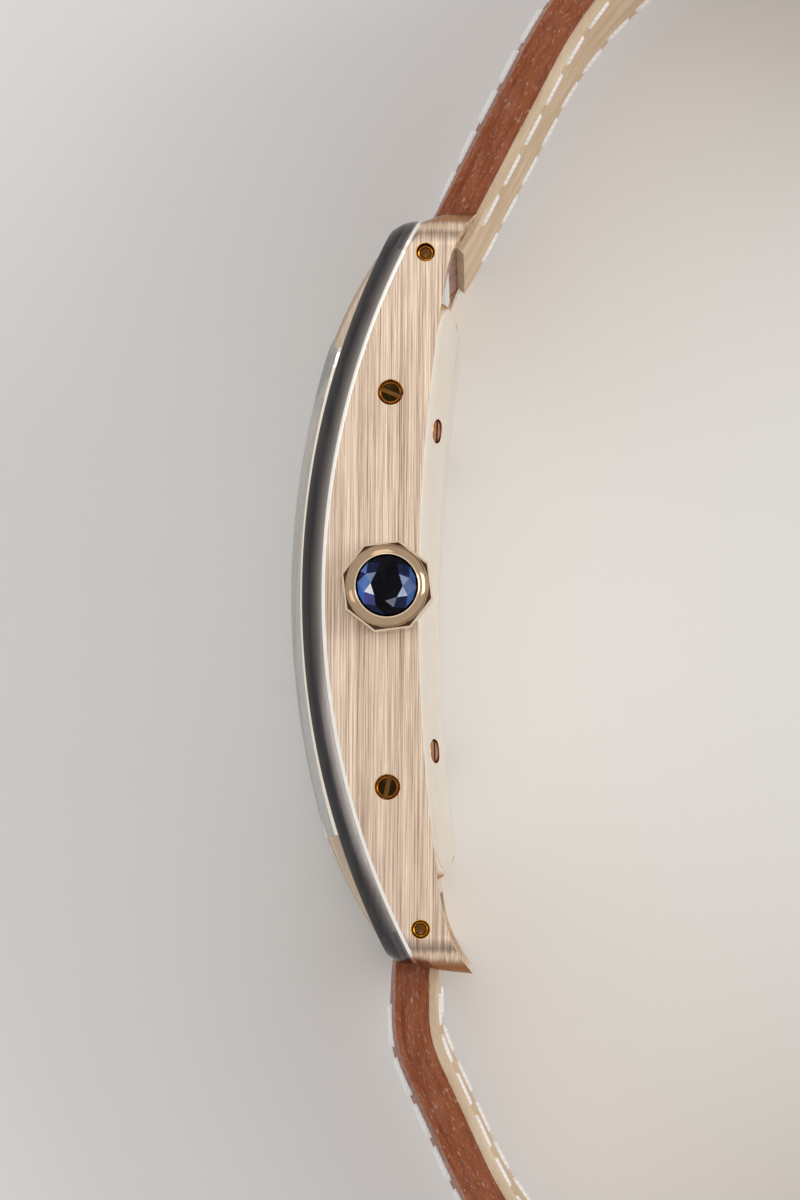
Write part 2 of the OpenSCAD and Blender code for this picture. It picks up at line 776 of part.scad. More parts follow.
module pallet_bridge() color("#d8d2c4") place() difference() {
    translate([pallet_p[0], pallet_p[1], 0]) rotate([0, 0, lever_dir + 90]) {
        translate([-2.3, -0.4, -1.6]) cube([4.6, 0.8, 0.3]);
        for (s = [-1, 1]) translate([s * 1.95, 0, -1.6]) cylinder(r = 0.4, h = pocket_z + 1.6);
    }
    pivot_hole(pallet_p);
}

module movement_screws() color("#3a4a78") place() for (p = screw_p) {
    translate([p[0], p[1], bridge_z - bridge_t]) cylinder(r = 0.5, h = 0.25);
    translate([p[0], p[1], bridge_z - bridge_t]) cylinder(r = 0.27, h = plate_z - bridge_z + bridge_t + 0.4);
}

module jewels() color("#a02040") place()
    for (p = [center_p, third_p, fourth_p, escape_p, balance_p])
        translate([p[0], p[1], bridge_z - bridge_t]) difference() {
            cylinder(r = jewel_r, h = 0.3);
            translate([0, 0, -1]) cylinder(r = jewel_bore_r, h = 3);
        }

module barrel() color("#c8a860") place() translate([barrel_p[0], barrel_p[1], 0]) {
    teeth_dir = barrel_dir + 180;
    translate([0, 0, -1.65]) cylinder(r = 3.85, h = 1.05);
    translate([0, 0, -1.3]) linear_extrude(0.3) gear(barrel_teeth, train_m, teeth_dir);
    translate([0, 0, bridge_z - 0.35]) cylinder(r = 0.3, h = 1.2);
    translate([0, 0, -1]) cylinder(r = pivot_r, h = pocket_z + 0.3 + 1);
}

// The pinion's gap faces the barrel's tooth
function gap_dir(dir, teeth) = dir + 180 / teeth;

module center_wheel() color("#c8a860") place() {
    wheel(center_teeth, train_m, third_dir, -1.95);
    pinion(center_pinion_teeth, train_m, gap_dir(barrel_dir, center_pinion_teeth), -1.4, -0.9);
    translate([0, 0, bridge_z + 0.08]) cylinder(r = 0.27, h = minute_hand_z + hand_t - bridge_z);
    translate([0, 0, bridge_z - 0.3]) cylinder(r = pivot_r, h = 1);
}

module third_wheel() color("#c8a860") place() translate([third_p[0], third_p[1], 0]) {
    wheel(third_teeth, train_m, fourth_dir, -1.2);
    pinion(third_pinion_teeth, train_m, gap_dir(third_dir + 180, third_pinion_teeth), -2.05, -1.7);
    arbor();
}

module fourth_wheel() color("#c8a860") place() translate([fourth_p[0], fourth_p[1], 0]) {
    wheel(fourth_teeth, train_m, escape_dir, -1.55);
    pinion(fourth_pinion_teeth, train_m, gap_dir(fourth_dir + 180, fourth_pinion_teeth), -1.3, -0.95);
    arbor();
}

module escape_wheel() color("#c4c8cc") place() translate([escape_p[0], escape_p[1], 0]) {
    teeth = 15;
    translate([0, 0, -1]) linear_extrude(wheel_t) difference() {
        polygon([for (i = [0:teeth - 1]) each [
            polar(escape_r - 0.45, 24 * i), polar(escape_r, 24 * i + 9), polar(escape_r, 24 * i + 12),
            polar(escape_r - 0.45, 24 * i + 12)]]);
        difference() {
            circle(escape_r - 0.7);
            circle(0.45);
            for (i = [0, 1]) rotate([0, 0, 90 * i]) square([3, 0.25], center = true);
        }
    }
    pinion(escape_pinion_teeth, train_m, gap_dir(escape_dir + 180, escape_pinion_teeth), -1.65, -1.3);
    arbor(0.14);
}

// Lever with two pallets towards the escape wheel and a fork towards the balance
module pallet_fork() color("#c4c8cc") place() translate([pallet_p[0], pallet_p[1], 0])
    rotate([0, 0, lever_dir]) {
        translate([0, 0, -1]) linear_extrude(0.15) difference() {
            union() {
                circle(0.3);
                translate([-0.1, -1.15]) square([0.25, 2.3]);
                for (s = [-1, 1]) translate([-0.4, s * 1.15 - 0.12]) square([0.55, 0.24]);
                translate([0, -0.1]) square([1.1, 0.2]);
                translate([0.8, -0.25]) square([0.32, 0.5]);
            }
            translate([0.95, -0.12]) square([1, 0.24]);
        }
        translate([0, 0, -1.3 + 0.05]) cylinder(r = 0.14, h = 0.7);
        translate([0, 0, -1.55]) cylinder(r = pivot_r, h = pocket_z + 0.3 + 1.55);
    }

balance_r = 2.8;
module balance_wheel() color("#c8a860") place() translate([balance_p[0], balance_p[1], 0]) {
    translate([0, 0, -1.95]) linear_extrude(0.2) {
        difference() {
            circle(balance_r);
            circle(balance_r - 0.3);
        }
        circle(0.5);
        rotate([0, 0, 35]) square([2 * balance_r - 0.2, 0.3], center = true);
    }
    translate([0, 0, -1.2]) difference() {
        cylinder(r = 0.5, h = 0.1);
        rotate([0, 0, lever_dir + 180]) translate([0.5, 0, -1]) cylinder(r = 0.15, h = 3);
    }
    arbor(0.14);
}

// Flat spiral from the balance's collet to the stud under the cock
module hairspring() color("#3a4a78") place() translate([balance_p[0], balance_p[1], -2.2]) {
    turns = 5;
    step = 20;
    r0 = 0.45;
    pitch = 0.24;
    strip = 0.05;
    n = turns * 360 / step;
    inner = [for (k = [0:n]) polar(r0 + pitch * k / n * turns, k * step)];
    outer = [for (k = [n:-1:0]) polar(r0 + pitch * k / n * turns + strip, k * step)];
    linear_extrude(0.1) polygon(concat(inner, outer));
    translate([r0 + pitch * turns - 0.02, -0.12, 0]) cube([0.24, 0.24, 0.2 - 2.35 + 2.2]);
}

module cannon_pinion() color("#c8a860") place() difference() {
    union() {
        pinion(cannon_teeth, motion_m1, motion_dir, 0.25, 0.7);
        translate([0, 0, 0.6]) cylinder(r = 0.48, h = minute_hand_z + hand_t - 0.6);
    }
    cylinder(r = 0.3, h = 9, center = true);
}

module minute_wheel() color("#c8a860") place() translate([minute_p[0], minute_p[1], 0]) {
    wheel(minute_teeth, motion_m1, gap_dir(motion_dir + 180, minute_teeth), 0.35);
    pinion(minute_pinion_teeth, motion_m2, gap_dir(motion_dir + 180, minute_pinion_teeth), 0.45, 0.98);
    translate([0, 0, -0.2]) cylinder(r = 0.17, h = 1.1);
}

module hour_wheel() color("#c8a860") place() difference() {
    union() {
        pinion(hour_teeth, motion_m2, motion_dir, 0.8, 0.95);
        translate([0, 0, 0.8]) cylinder(r = 0.8, h = hour_hand_z + hand_t - 0.8);
    }
    cylinder(r = 0.53, h = 9, center = true);
}

// Tapered baton hand with a round boss, pointing to clock angle a
module hand(a, length, w, boss_r, bore_r, z) {
    translate([0, 0, z]) rotate([0, 0, -a]) linear_extrude(hand_t) difference() {
        union() {
            circle(boss_r);
            polygon([[-w / 2, 0], [-w * 0.35, length - 1], [0, length], [w * 0.35, length - 1], [w / 2, 0],
                     [w * 0.35, -1.8], [-w * 0.35, -1.8]]);
        }
        circle(bore_r);
    }
}

module minute_hand() color("#b06a4a") place() hand(minute_hand_a, minute_l, 0.8, 0.85, 0.48, minute_hand_z);
module hour_hand() color("#b06a4a") place() hand(hour_hand_a, hour_l, 0.9, 1.2, 0.8, hour_hand_z);

// Strap

// Total length of the first n runs of a route
function run_end(runs, n) = n == 0 ? 0 : runs[n - 1][0] + run_end(runs, n - 1);
function run_at(runs, s, i = 0) = i >= len(runs) - 1 || s <= run_end(runs, i + 1) ? i : run_at(runs, s, i + 1);
function heading(runs, h0, s) = let (
    i = run_at(runs, s),
    before = i == 0 ? h0 : runs[i - 1][1],
    k = min((s - run_end(runs, i)) / runs[i][0], 1)
) before + (runs[i][1] - before) * k;

// Places along a route every ring_step, as [out from the case, height, heading, distance]
fine = 4;
function walk(runs, h0, p, s, ds, n, i = 0) = i > n ? [] :
    let (
        here = [p[0], p[1], heading(runs, h0, s), s],
        sub = [for (j = [0:fine - 1]) heading(runs, h0, s + ds * (j + 0.5) / fine)],
        next = [p[0] + ds * mean_cos(sub), p[1] - ds * mean_sin(sub)]
    ) concat([here], walk(runs, h0, next, s + ds, ds, n, i + 1));
function total(v, i = 0) = i >= len(v) ? 0 : v[i] + total(v, i + 1);
function mean_cos(a) = total([for (x = a) cos(x)]) / fine;
function mean_sin(a) = total([for (x = a) sin(x)]) / fine;
function route(runs, h0) = let (
    length = run_end(runs, len(runs)),
    n = ceil(length / ring_step)
) walk(runs, h0, [lug_bar_y, lug_bar_z], 0, length / n, n);

// Solid swept along a route: section(s) gives its points across the strap
module sweep(stations, sections) {
    n = len(sections[0]);
    pts = [for (i = [0:len(stations) - 1]) let (st = stations[i]) for (q = sections[i])
        [q[0], st[0] + q[1] * sin(st[2]), st[1] + q[1] * cos(st[2])]];
    last = (len(stations) - 1) * n;
    faces = concat(
        [[for (k = [n - 1:-1:0]) k]],
        [for (i = [0:len(stations) - 2], k = [0:n - 1]) let (a = i * n + k, b = i * n + (k + 1) % n)
            [a, b, b + n, a + n]],
        [[for (k = [0:n - 1]) last + k]]);
    polyhedron(points = pts, faces = faces, convexity = 8);
}

// Half width along the strap: full between the lugs, tapering to the buckle, drawn in at the tip
tip_len = 12;
function half_width(s, length, pointed) = let (
    taper = min(max((s - 3) / 55, 0), 1),
    w = strap_w / 2 + (strap_end_w - strap_w) / 2 * taper,
    t = max((s - (length - tip_len)) / tip_len, 0)
) pointed ? w * sqrt(max(1 - pow(t, 2.4), 0.05)) : w;

// Padding at the middle of the front face, flat over the straight run at the end
flat_end = 46;
function padding(s, length) = strap_crown * min(max(s / 8, 0.2), 1) * min(max((length - s - flat_end) / 15, 0), 1);

mid_v = -0.02;
leather_lo = mid_v - strap_t / 2 + lining_t;
leather_hi = mid_v + strap_t / 2;
function leather_section(s, length, pointed) = let (w = half_width(s, length, pointed), p = padding(s, length)) [
    [-w, leather_lo], [w, leather_lo], [w, leather_hi - 0.15], [w - 0.15, leather_hi],
    [w * 0.8, leather_hi + 0.5 * p], [w * 0.4, leather_hi + p], [-w * 0.4, leather_hi + p],
    [-w * 0.8, leather_hi + 0.5 * p], [0.15 - w, leather_hi], [-w, leather_hi - 0.15]];
function lining_section(s, length, pointed) = let (w = half_width(s, length, pointed) - 0.1) [
    [-w + 0.2, leather_lo - lining_t], [w - 0.2, leather_lo - lining_t], [w, leather_lo - 0.3],
    [w, leather_lo], [-w, leather_lo], [-w, leather_lo - 0.3]];

length_12 = run_end(runs_12, len(runs_12));
length_6 = run_end(runs_6, len(runs_6));
route_12 = route(runs_12, lug_swing_12);
route_6 = route(runs_6, lug_swing_6);

// Frame at a place on a route: y out of the front face... z along the strap
function tail(r, back) = let (e = r[len(r) - 1]) [e[0] - back * cos(e[2]), e[1] + back * sin(e[2]), e[2]];
module at_tail(r, back) {
    e = tail(r, back);
    translate([0, e[0], e[1]]) rotate([-e[2], 0, 0]) children();
}

// Room round the lug bar, cut from the start of the strap
module lug_bore(s) {
    rod_x(lug_bar_r + 0.05, -half_w, half_w, s * lug_bar_y, lug_bar_z);
}

// Loop of leather round the lug bar, a little inside the front face
lug_eye_r = strap_t / 2 - 0.15;
module leather(r, length, pointed) {
    difference() {
        union() {
            sweep(r, [for (st = r) leather_section(st[3], length, pointed)]);
            rod_x(lug_eye_r, -strap_w / 2, strap_w / 2, lug_bar_y, lug_bar_z);
        }
        rod_x(lug_bar_r + 0.05, -half_w, half_w, lug_bar_y, lug_bar_z);
        children();
    }
}

// The lining starts clear of the eye round the lug bar
lining_skip = 2;
module lining(r, length, pointed) {
    part = [for (i = [lining_skip:len(r) - 1]) r[i]];
    difference() {
        sweep(part, [for (st = part) lining_section(st[3], length, pointed)]);
        children();
    }
}

// Buckle half: the end wraps the buckle bar, with a gap for the tang
buckle_back = 1.6;
module buckle_cut() {
    at_tail(route_12, -buckle_back) {
        rod_x(buckle_bar_d / 2 + 0.06, -20, 20, 0, 0);
        translate([-tang_gap_hx, -buckle_back - 2.6, -4]) cube([2 * tang_gap_hx, 8, 8]);
    }
}

module strap_12_leather() color("#96502c") place() difference() {
    union() {
        leather(route_12, length_12, false);
        at_tail(route_12, -buckle_back) {
            rod_x(buckle_eye_r, -strap_end_w / 2, strap_end_w / 2, 0, 0);
            translate([-strap_end_w / 2, -buckle_back, -buckle_eye_r])
                cube([strap_end_w, buckle_back, 2 * buckle_eye_r]);
        }
    }
    buckle_cut();
}

module strap_12_lining() color("#dfc6a8") place() difference() {
    lining(route_12, length_12, false);
    buckle_cut();
    at_tail(route_12, -buckle_back) rod_x(buckle_eye_r, -20, 20, 0, 0);
}

// Long half, drawn on the 6 o'clock side
first_hole = 18;
module buckle_holes() {
    for (i = [0:strap_holes - 1])
        at_tail(route_6, first_hole + i * hole_pitch) cylinder(r = hole_d / 2, h = 12, center = true);
}

module strap_6_leather() color("#96502c") place() mirror([0, 1, 0])
    leather(route_6, length_6, true) buckle_holes();

module strap_6_lining() color("#dfc6a8") place() mirror([0, 1, 0])
    lining(route_6, length_6, true) buckle_holes();

// Buckle, in the frame of the buckle bar: y along the strap, z out of its front face
module at_buckle() {
    place() at_tail(route_12, -buckle_back) children();
}

module buckle_frame() color("#d9b790") at_buckle() difference() {
    intersection() {
        translate([0, 0, -buckle_t / 2]) linear_extrude(buckle_t) difference() {
            translate([0, buckle_l / 2 - 1]) round_rect(buckle_hx, buckle_l / 2 + 0.4, 1.6);
            translate([-buckle_in_hx, -3]) square([2 * buckle_in_hx, buckle_l - 2.2 + 3]);
        }
        rotate([90, 0, 90]) linear_extrude(40, center = true)
            translate([buckle_l / 2 - 1, 0]) round_rect(buckle_l / 2 + 0.4, buckle_t / 2, 0.6);
    }
    rod_x(buckle_bar_d / 2, -buckle_hx - 1, buckle_hx + 1, 0, 0);
}

module buckle_bar() color("#c89a6a") at_buckle()
    rod_x(buckle_bar_d / 2, -buckle_hx + 0.2, buckle_hx - 0.2, 0, 0);

module buckle_tang() color("#d9b790") at_buckle() difference() {
    tang_r = 1.1;
    tip = buckle_l - 0.9;
    lie = buckle_t / 2 + 0.1;
    union() {
        rod_x(tang_r, -tang_w / 2, tang_w / 2, 0, 0);
        rotate([90, 0, 90]) linear_extrude(tang_w, center = true) polygon([
            [0, 0.1], [0, tang_r], [tip - 3, lie + 0.9], [tip - 0.4, lie + 0.75], [tip, lie + 0.4],
            [tip - 0.4, lie], [tip - 3, lie], [tang_r + 0.8, -0.1]]);
    }
    rod_x(buckle_bar_d / 2 + 0.06, -9, 9, 0, 0);
}

// Leather loop round the strap, wide enough for both halves
module keeper(back, room) {
    w = strap_end_w / 2 + 0.4;
    wall = 1;
    lo = leather_lo - lining_t - room;
    hi = lo + 2 * strap_t + 0.9;
    at_tail(route_12, back) translate([0, 0, (lo + hi) / 2]) rotate([-90, 0, 0])
        linear_extrude(4) difference() {
            round_rect(w + wall, (hi - lo) / 2 + wall, 1.2);
            round_rect(w, (hi - lo) / 2, 0.4);
        }
}

fixed_keeper_back = 7;
free_keeper_back = 14;
module fixed_keeper() color("#96502c") place() keeper(fixed_keeper_back, 0);
module free_keeper() color("#96502c") place() keeper(free_keeper_back, 0.15);

case_body();
bezel();
crystal();
crystal_gasket();
dial();
hour_markers();
casing_ring();
case_back();
back_gasket();
flank_screws();
back_screws();
lug_bar_12();
lug_bar_6();
crown_tube();
crown();
crown_stone();
crown_gasket();
stem();
clutch_wheel();
setting_lever();
mainplate();
barrel_bridge();
train_bridge();
balance_cock();
pallet_bridge();
movement_screws();
jewels();
barrel();
center_wheel();
third_wheel();
fourth_wheel();
escape_wheel();
pallet_fork();
balance_wheel();
hairspring();
cannon_pinion();
minute_wheel();
hour_wheel();
minute_hand();
hour_hand();
strap_12_leather();
strap_12_lining();
strap_6_leather();
strap_6_lining();
buckle_frame();
buckle_bar();
buckle_tang();
fixed_keeper();
free_keeper();
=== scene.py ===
"""Curved rectangular watch on its 9 o'clock flank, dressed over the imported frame."""

from math import asin, ceil, copysign, cos, exp, hypot, pi, radians, sin, sqrt

import bpy
from mathutils import Matrix, Vector, noise


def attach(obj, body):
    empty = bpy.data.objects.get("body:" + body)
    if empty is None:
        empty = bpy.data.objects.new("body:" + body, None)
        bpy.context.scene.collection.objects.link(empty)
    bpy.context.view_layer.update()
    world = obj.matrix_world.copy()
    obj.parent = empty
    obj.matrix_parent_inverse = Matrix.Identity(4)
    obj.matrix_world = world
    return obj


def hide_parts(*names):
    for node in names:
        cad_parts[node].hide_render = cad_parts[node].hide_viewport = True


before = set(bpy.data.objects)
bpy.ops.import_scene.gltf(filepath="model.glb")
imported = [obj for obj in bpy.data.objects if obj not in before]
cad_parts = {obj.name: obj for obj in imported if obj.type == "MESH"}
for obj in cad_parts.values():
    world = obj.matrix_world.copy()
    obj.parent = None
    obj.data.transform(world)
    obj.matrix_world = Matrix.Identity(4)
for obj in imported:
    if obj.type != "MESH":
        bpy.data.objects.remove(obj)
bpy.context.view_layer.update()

# Millimetres in the row frame while modelling; set_down() brings a piece to metres.
MM = 0.001
MID_Z = 13.3
FLANK_TOP = 26.6
HALF_LENGTH = 22.5
RAIL_R = 47
FRONT_CENTRE = (0, 42.85)
GLASS_CENTRE = (0, 45.2)
BACK_R = 115
BACK_CENTRE = (0, 117.72)
BACK_ROLL = 7.8
CORNERS = [(-1, -1), (-1, 1), (1, -1), (1, 1)]
CROWN_CENTRE = (0, 0.95)
CROWN_BASE = 26.85
LUG_HOLE = (19.9, 3.0)
SCREW_HOLE = (11.6, 1.0)
ROOM_HALF = 10.15


# Hands and tools


def deselect():
    if bpy.context.mode != "OBJECT":
        bpy.ops.object.mode_set(mode="OBJECT")
    bpy.ops.object.select_all(action="DESELECT")


def pick(*pieces):
    deselect()
    for piece in pieces:
        piece.select_set(True)
    bpy.context.view_layer.objects.active = pieces[0]
    return pieces[0]


def fresh(name):
    piece = bpy.context.object
    piece.name = name
    bpy.ops.object.transform_apply(location=True, rotation=True, scale=True)
    return piece


def take_all():
    bpy.ops.mesh.select_all(action="SELECT")


def merge_close(distance):
    bpy.ops.mesh.remove_doubles(threshold=distance)
    take_all()


def draw(*way):
    """Extrudes what is selected along the way."""
    bpy.ops.mesh.extrude_region_move(TRANSFORM_OT_translate={"value": way})


def edit_all(piece, kind="FACE"):
    pick(piece)
    bpy.ops.object.mode_set(mode="EDIT")
    bpy.ops.mesh.select_mode(type=kind)
    take_all()


def edit_chosen(piece, faces=None, edges=None):
    """Opens the piece for editing with the faces or edges chosen by their place."""
    pick(piece)
    mesh = piece.data
    for parts in (mesh.vertices, mesh.edges, mesh.polygons):
        parts.foreach_set("select", [False] * len(parts))
    if faces:
        for p in mesh.polygons:
            p.select = bool(faces(p.center, p.normal))
    if edges:
        for e in mesh.edges:
            e.select = bool(edges(mesh.vertices[e.vertices[0]].co, mesh.vertices[e.vertices[1]].co))
    bpy.context.tool_settings.mesh_select_mode = (False, bool(edges), not edges)
    bpy.ops.object.mode_set(mode="EDIT")


def bevel_chosen(offset, segments):
    bpy.ops.mesh.bevel(offset=offset, segments=segments, affect="EDGES")
    deselect()


def apply_modifier(piece, kind, **settings):
    pick(piece)
    modifier = piece.modifiers.new(kind.lower(), kind)
    for key, value in settings.items():
        setattr(modifier, key, value)
    bpy.ops.object.modifier_apply(modifier=modifier.name)


def cover(piece, material):
    """One material all over."""
    piece.data.materials.clear()
    piece.data.materials.append(material)
    piece.data.polygons.foreach_set("material_index", [0] * len(piece.data.polygons))


def cut(piece, tool, how="DIFFERENCE"):
    if piece.data.materials and not tool.data.materials:
        cover(tool, piece.data.materials[0])
    apply_modifier(piece, "BOOLEAN", operation=how, solver="EXACT", object=tool, material_mode="TRANSFER")
    bpy.data.objects.remove(tool)


def outwards(piece, distance=0.0004):
    edit_all(piece)
    merge_close(distance)
    bpy.ops.mesh.normals_make_consistent(inside=False)
    deselect()


def soften(piece, width, angle=30, segments=2):
    """A small round on every edge sharper than the angle."""
    apply_modifier(
        piece, "BEVEL", width=width, segments=segments, limit_method="ANGLE",
        angle_limit=radians(angle), miter_outer="MITER_ARC", use_clamp_overlap=True,
    )


def paint(piece, material, faces):
    """Gives the chosen faces a material of their own."""
    if material.name not in piece.data.materials:
        piece.data.materials.append(material)
    slot = piece.data.materials.find(material.name)
    edit_chosen(piece, faces=faces)
    piece.active_material_index = slot
    bpy.ops.object.material_slot_assign()
    deselect()


def put_on(piece, body, nodes, angle):
    """Smooths a finished piece and puts it on its body."""
    pick(piece)
    bpy.ops.object.shade_smooth_by_angle(angle=radians(angle))
    apply_modifier(piece, "WEIGHTED_NORMAL", keep_sharp=True, weight=90)
    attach(piece, body)
    if nodes:
        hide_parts(*nodes)
    deselect()


def set_down(piece, body, nodes, angle=30):
    """Brings a piece modelled in millimetres to metres, and puts it on its body."""
    pick(piece)
    piece.scale = (MM, MM, MM)
    bpy.ops.object.transform_apply(location=False, rotation=False, scale=True)
    put_on(piece, body, nodes, angle)


# Drawing with a point that is drawn out and spun


class Pen:
    def __init__(self, name, x, y, z):
        deselect()
        bpy.ops.mesh.primitive_plane_add(size=0.1, location=(x, y, z))
        self.piece = fresh(name)
        bpy.ops.object.mode_set(mode="EDIT")
        bpy.ops.mesh.select_mode(type="VERT")
        take_all()
        bpy.ops.mesh.merge(type="CENTER")
        self.at = Vector((x, y, z))

    def line(self, x, y, z=None):
        target = Vector((x, y, self.at.z if z is None else z))
        draw(*(target - self.at))
        self.at = target

    def arc(self, centre, degrees, steps):
        """Anticlockwise for positive degrees."""
        hub = Vector((*centre, self.at.z))
        bpy.ops.mesh.spin(steps=steps, angle=-radians(degrees), center=hub, axis=(0, 0, 1))
        self.at = hub + Matrix.Rotation(radians(degrees), 3, "Z") @ (self.at - hub)

    def face(self):
        take_all()
        merge_close(0.0005)
        bpy.ops.mesh.edge_face_add()

    def draw_out(self, height):
        """Fills the outline and draws it up into a plate."""
        self.face()
        draw(0, 0, height)
        deselect()
        outwards(self.piece)
        return self.piece


def outline(name, points, z0, z1):
    pen = Pen(name, *points[0], z0)
    for p in points[1:]:
        pen.line(*p)
    return pen.draw_out(z1 - z0)


def turned(name, centre, profile, steps=96, span=360):
    """A section of (radius, height) points turned about an upright axis; part turns open towards -Y."""
    lean = Matrix.Rotation(radians(-span / 2 if span < 360 else 0), 3, "Z")
    section = [Vector((*centre, 0)) + lean @ Vector((0, -r, h)) for r, h in profile]
    pen = Pen(name, *section[0])
    for p in section[1:]:
        pen.line(*p)
    if span < 360:
        pen.face()
    else:
        take_all()
    bpy.ops.mesh.spin(steps=steps, angle=-radians(span), center=(*centre, 0), axis=(0, 0, 1))
    deselect()
    outwards(pen.piece)
    return pen.piece


def box(name, size, place, turn=0):
    deselect()
    bpy.ops.mesh.primitive_cube_add(size=1, location=place, scale=size, rotation=(0, 0, radians(turn)))
    return fresh(name)


def cylinder(name, radius, depth, place, sides, turn=(0, 0, 0)):
    deselect()
    bpy.ops.mesh.primitive_cylinder_add(
        vertices=sides, radius=radius, depth=depth, location=place, rotation=[radians(t) for t in turn]
    )
    return fresh(name)


def rod(name, radius, x, y, z0, z1, sides=48):
    return cylinder(name, radius, z1 - z0, (x, y, (z0 + z1) / 2), sides)


def rounded_block(name, hx, hz, corner, y0, y1, segments=20):
    """Block with round corners seen from the front, from its half sides."""
    block = box(name, (2 * hx, y1 - y0, 2 * hz), (0, (y0 + y1) / 2, MID_Z))
    edit_chosen(block, edges=lambda a, b: abs(a.y - b.y) > 0.5 * (y1 - y0))
    bevel_chosen(corner, segments)
    return block


def copy_of(piece, name):
    deselect()
    twin = piece.copy()
    twin.data = piece.data.copy()
    twin.name = name
    bpy.context.scene.collection.objects.link(twin)
    return twin


def join(name, pieces):
    pick(*pieces)
    bpy.ops.object.join()
    pieces[0].name = name
    deselect()
    return pieces[0]


def move(piece, matrix):
    pick(piece)
    piece.matrix_world = matrix
    bpy.ops.object.transform_apply(location=True, rotation=True, scale=True)


def flip_over(piece):
    """Turns the piece over to the floor flank."""
    edit_all(piece)
    bpy.ops.transform.mirror(constraint_axis=(False, False, True), center_override=(0, 0, MID_Z))
    bpy.ops.mesh.flip_normals()
    deselect()
    return piece


# Materials


class Finish:
    """A node material built up from Object coordinates in millimetres."""

    def __init__(self, name, colour, metallic=0.0, roughness=0.5, **shader):
        self.material = bpy.data.materials.new(name)
        self.material.use_nodes = True
        self.tree = self.material.node_tree
        self.shader = self.tree.nodes["Principled BSDF"]
        self.shader.inputs["Base Color"].default_value = (*colour, 1)
        self.shader.inputs["Metallic"].default_value = metallic
        self.shader.inputs["Roughness"].default_value = roughness
        for key, value in shader.items():
            self.shader.inputs[key.replace("_", " ")].default_value = value
        self.last_normal = None

    def node(self, kind, **values):
        """A node with its sockets and settings given by name, blanks written as underscores."""
        node = self.tree.nodes.new("ShaderNode" + kind)
        for key, value in values.items():
            socket = key.replace("_", " ")
            if socket in node.inputs:
                node.inputs[socket].default_value = value
            else:
                setattr(node, key, value)
        return node

    def link(self, a, b):
        self.tree.links.new(a, b)

    def scaled(self, source, scale):
        return self.feed(self.node("Mapping", Scale=scale), ("Vector", source)).outputs["Vector"]

    def place(self, *scale):
        """Place on the piece, in millimetres times the scale along each axis."""
        return self.scaled(self.node("TexCoord").outputs["Object"], [s / MM for s in scale])

    def along(self, *scale):
        """Place on a strap half before it was bent."""
        return self.scaled(self.node("Attribute", attribute_name="strap_place").outputs["Vector"], scale)

    def grain(self, place, size=1.0, detail=3.0, rough=0.5):
        node = self.node("TexNoise", Scale=size, Detail=detail, Roughness=rough)
        return self.feed(node, ("Vector", place)).outputs["Fac"]

    def cells(self, place, size=1.0, feature="DISTANCE_TO_EDGE"):
        node = self.node("TexVoronoi", feature=feature, Scale=size)
        return self.feed(node, ("Vector", place)).outputs["Distance"]

    def ramp(self, value, low, high, to_low=0.0, to_high=1.0):
        node = self.node("MapRange", From_Min=low, From_Max=high, To_Min=to_low, To_Max=to_high)
        return self.feed(node, ("Value", value)).outputs["Result"]

    def feed(self, node, *values):
        """Links or sets the node's sockets, given in pairs of socket and value."""
        for socket, value in values:
            if hasattr(value, "is_linked"):
                self.link(value, node.inputs[socket])
            else:
                node.inputs[socket].default_value = value
        return node

    def mix(self, factor, a, b):
        return self.feed(self.node("Mix", data_type="RGBA"), (0, factor), (6, a), (7, b)).outputs[2]

    def vary(self, factor, dark, light):
        """Colour between two tones by the factor."""
        return self.mix(factor, (*dark, 1), (*light, 1))

    def reckon(self, kind, a, b):
        return self.feed(self.node("Math", operation=kind), (0, a), (1, b)).outputs[0]

    def add(self, a, b):
        return self.reckon("ADD", a, b)

    def times(self, a, b):
        return self.reckon("MULTIPLY", a, b)

    def paint(self, colour):
        self.link(colour, self.shader.inputs["Base Color"])

    def gloss(self, roughness):
        self.link(roughness, self.shader.inputs["Roughness"])

    def relief(self, height, depth):
        """Bump of the given depth in millimetres."""
        node = self.node("Bump", Strength=1.0, Distance=depth * MM)
        self.link(height, node.inputs["Height"])
        if self.last_normal:
            self.link(self.last_normal, node.inputs["Normal"])
        self.last_normal = node.outputs["Normal"]
        self.link(self.last_normal, self.shader.inputs["Normal"])


def shade(tone, *by):
    """The tone times one number or one for each channel, at most white."""
    return tuple(min(c * by[i % len(by)], 1) for i, c in enumerate(tone))


def polished(name, tone, roughness=0.12, haze=0.05, swirl=0.0006):
    """Polished metal with faint hairlines and a breath of uneven gloss."""
    f = Finish(name, tone, 1.0, roughness)
    fine = f.grain(f.place(0.6, 0.6, 0.6), 2.0, 2.0)
    f.paint(f.vary(fine, shade(tone, 0.93), shade(tone, 1.05)))
    hair = f.grain(f.place(0.35, 9, 3), 1.5, 3.0)
    f.gloss(f.ramp(hair, 0.3, 0.75, roughness - haze, roughness + haze))
    f.relief(hair, swirl)
    return f.material


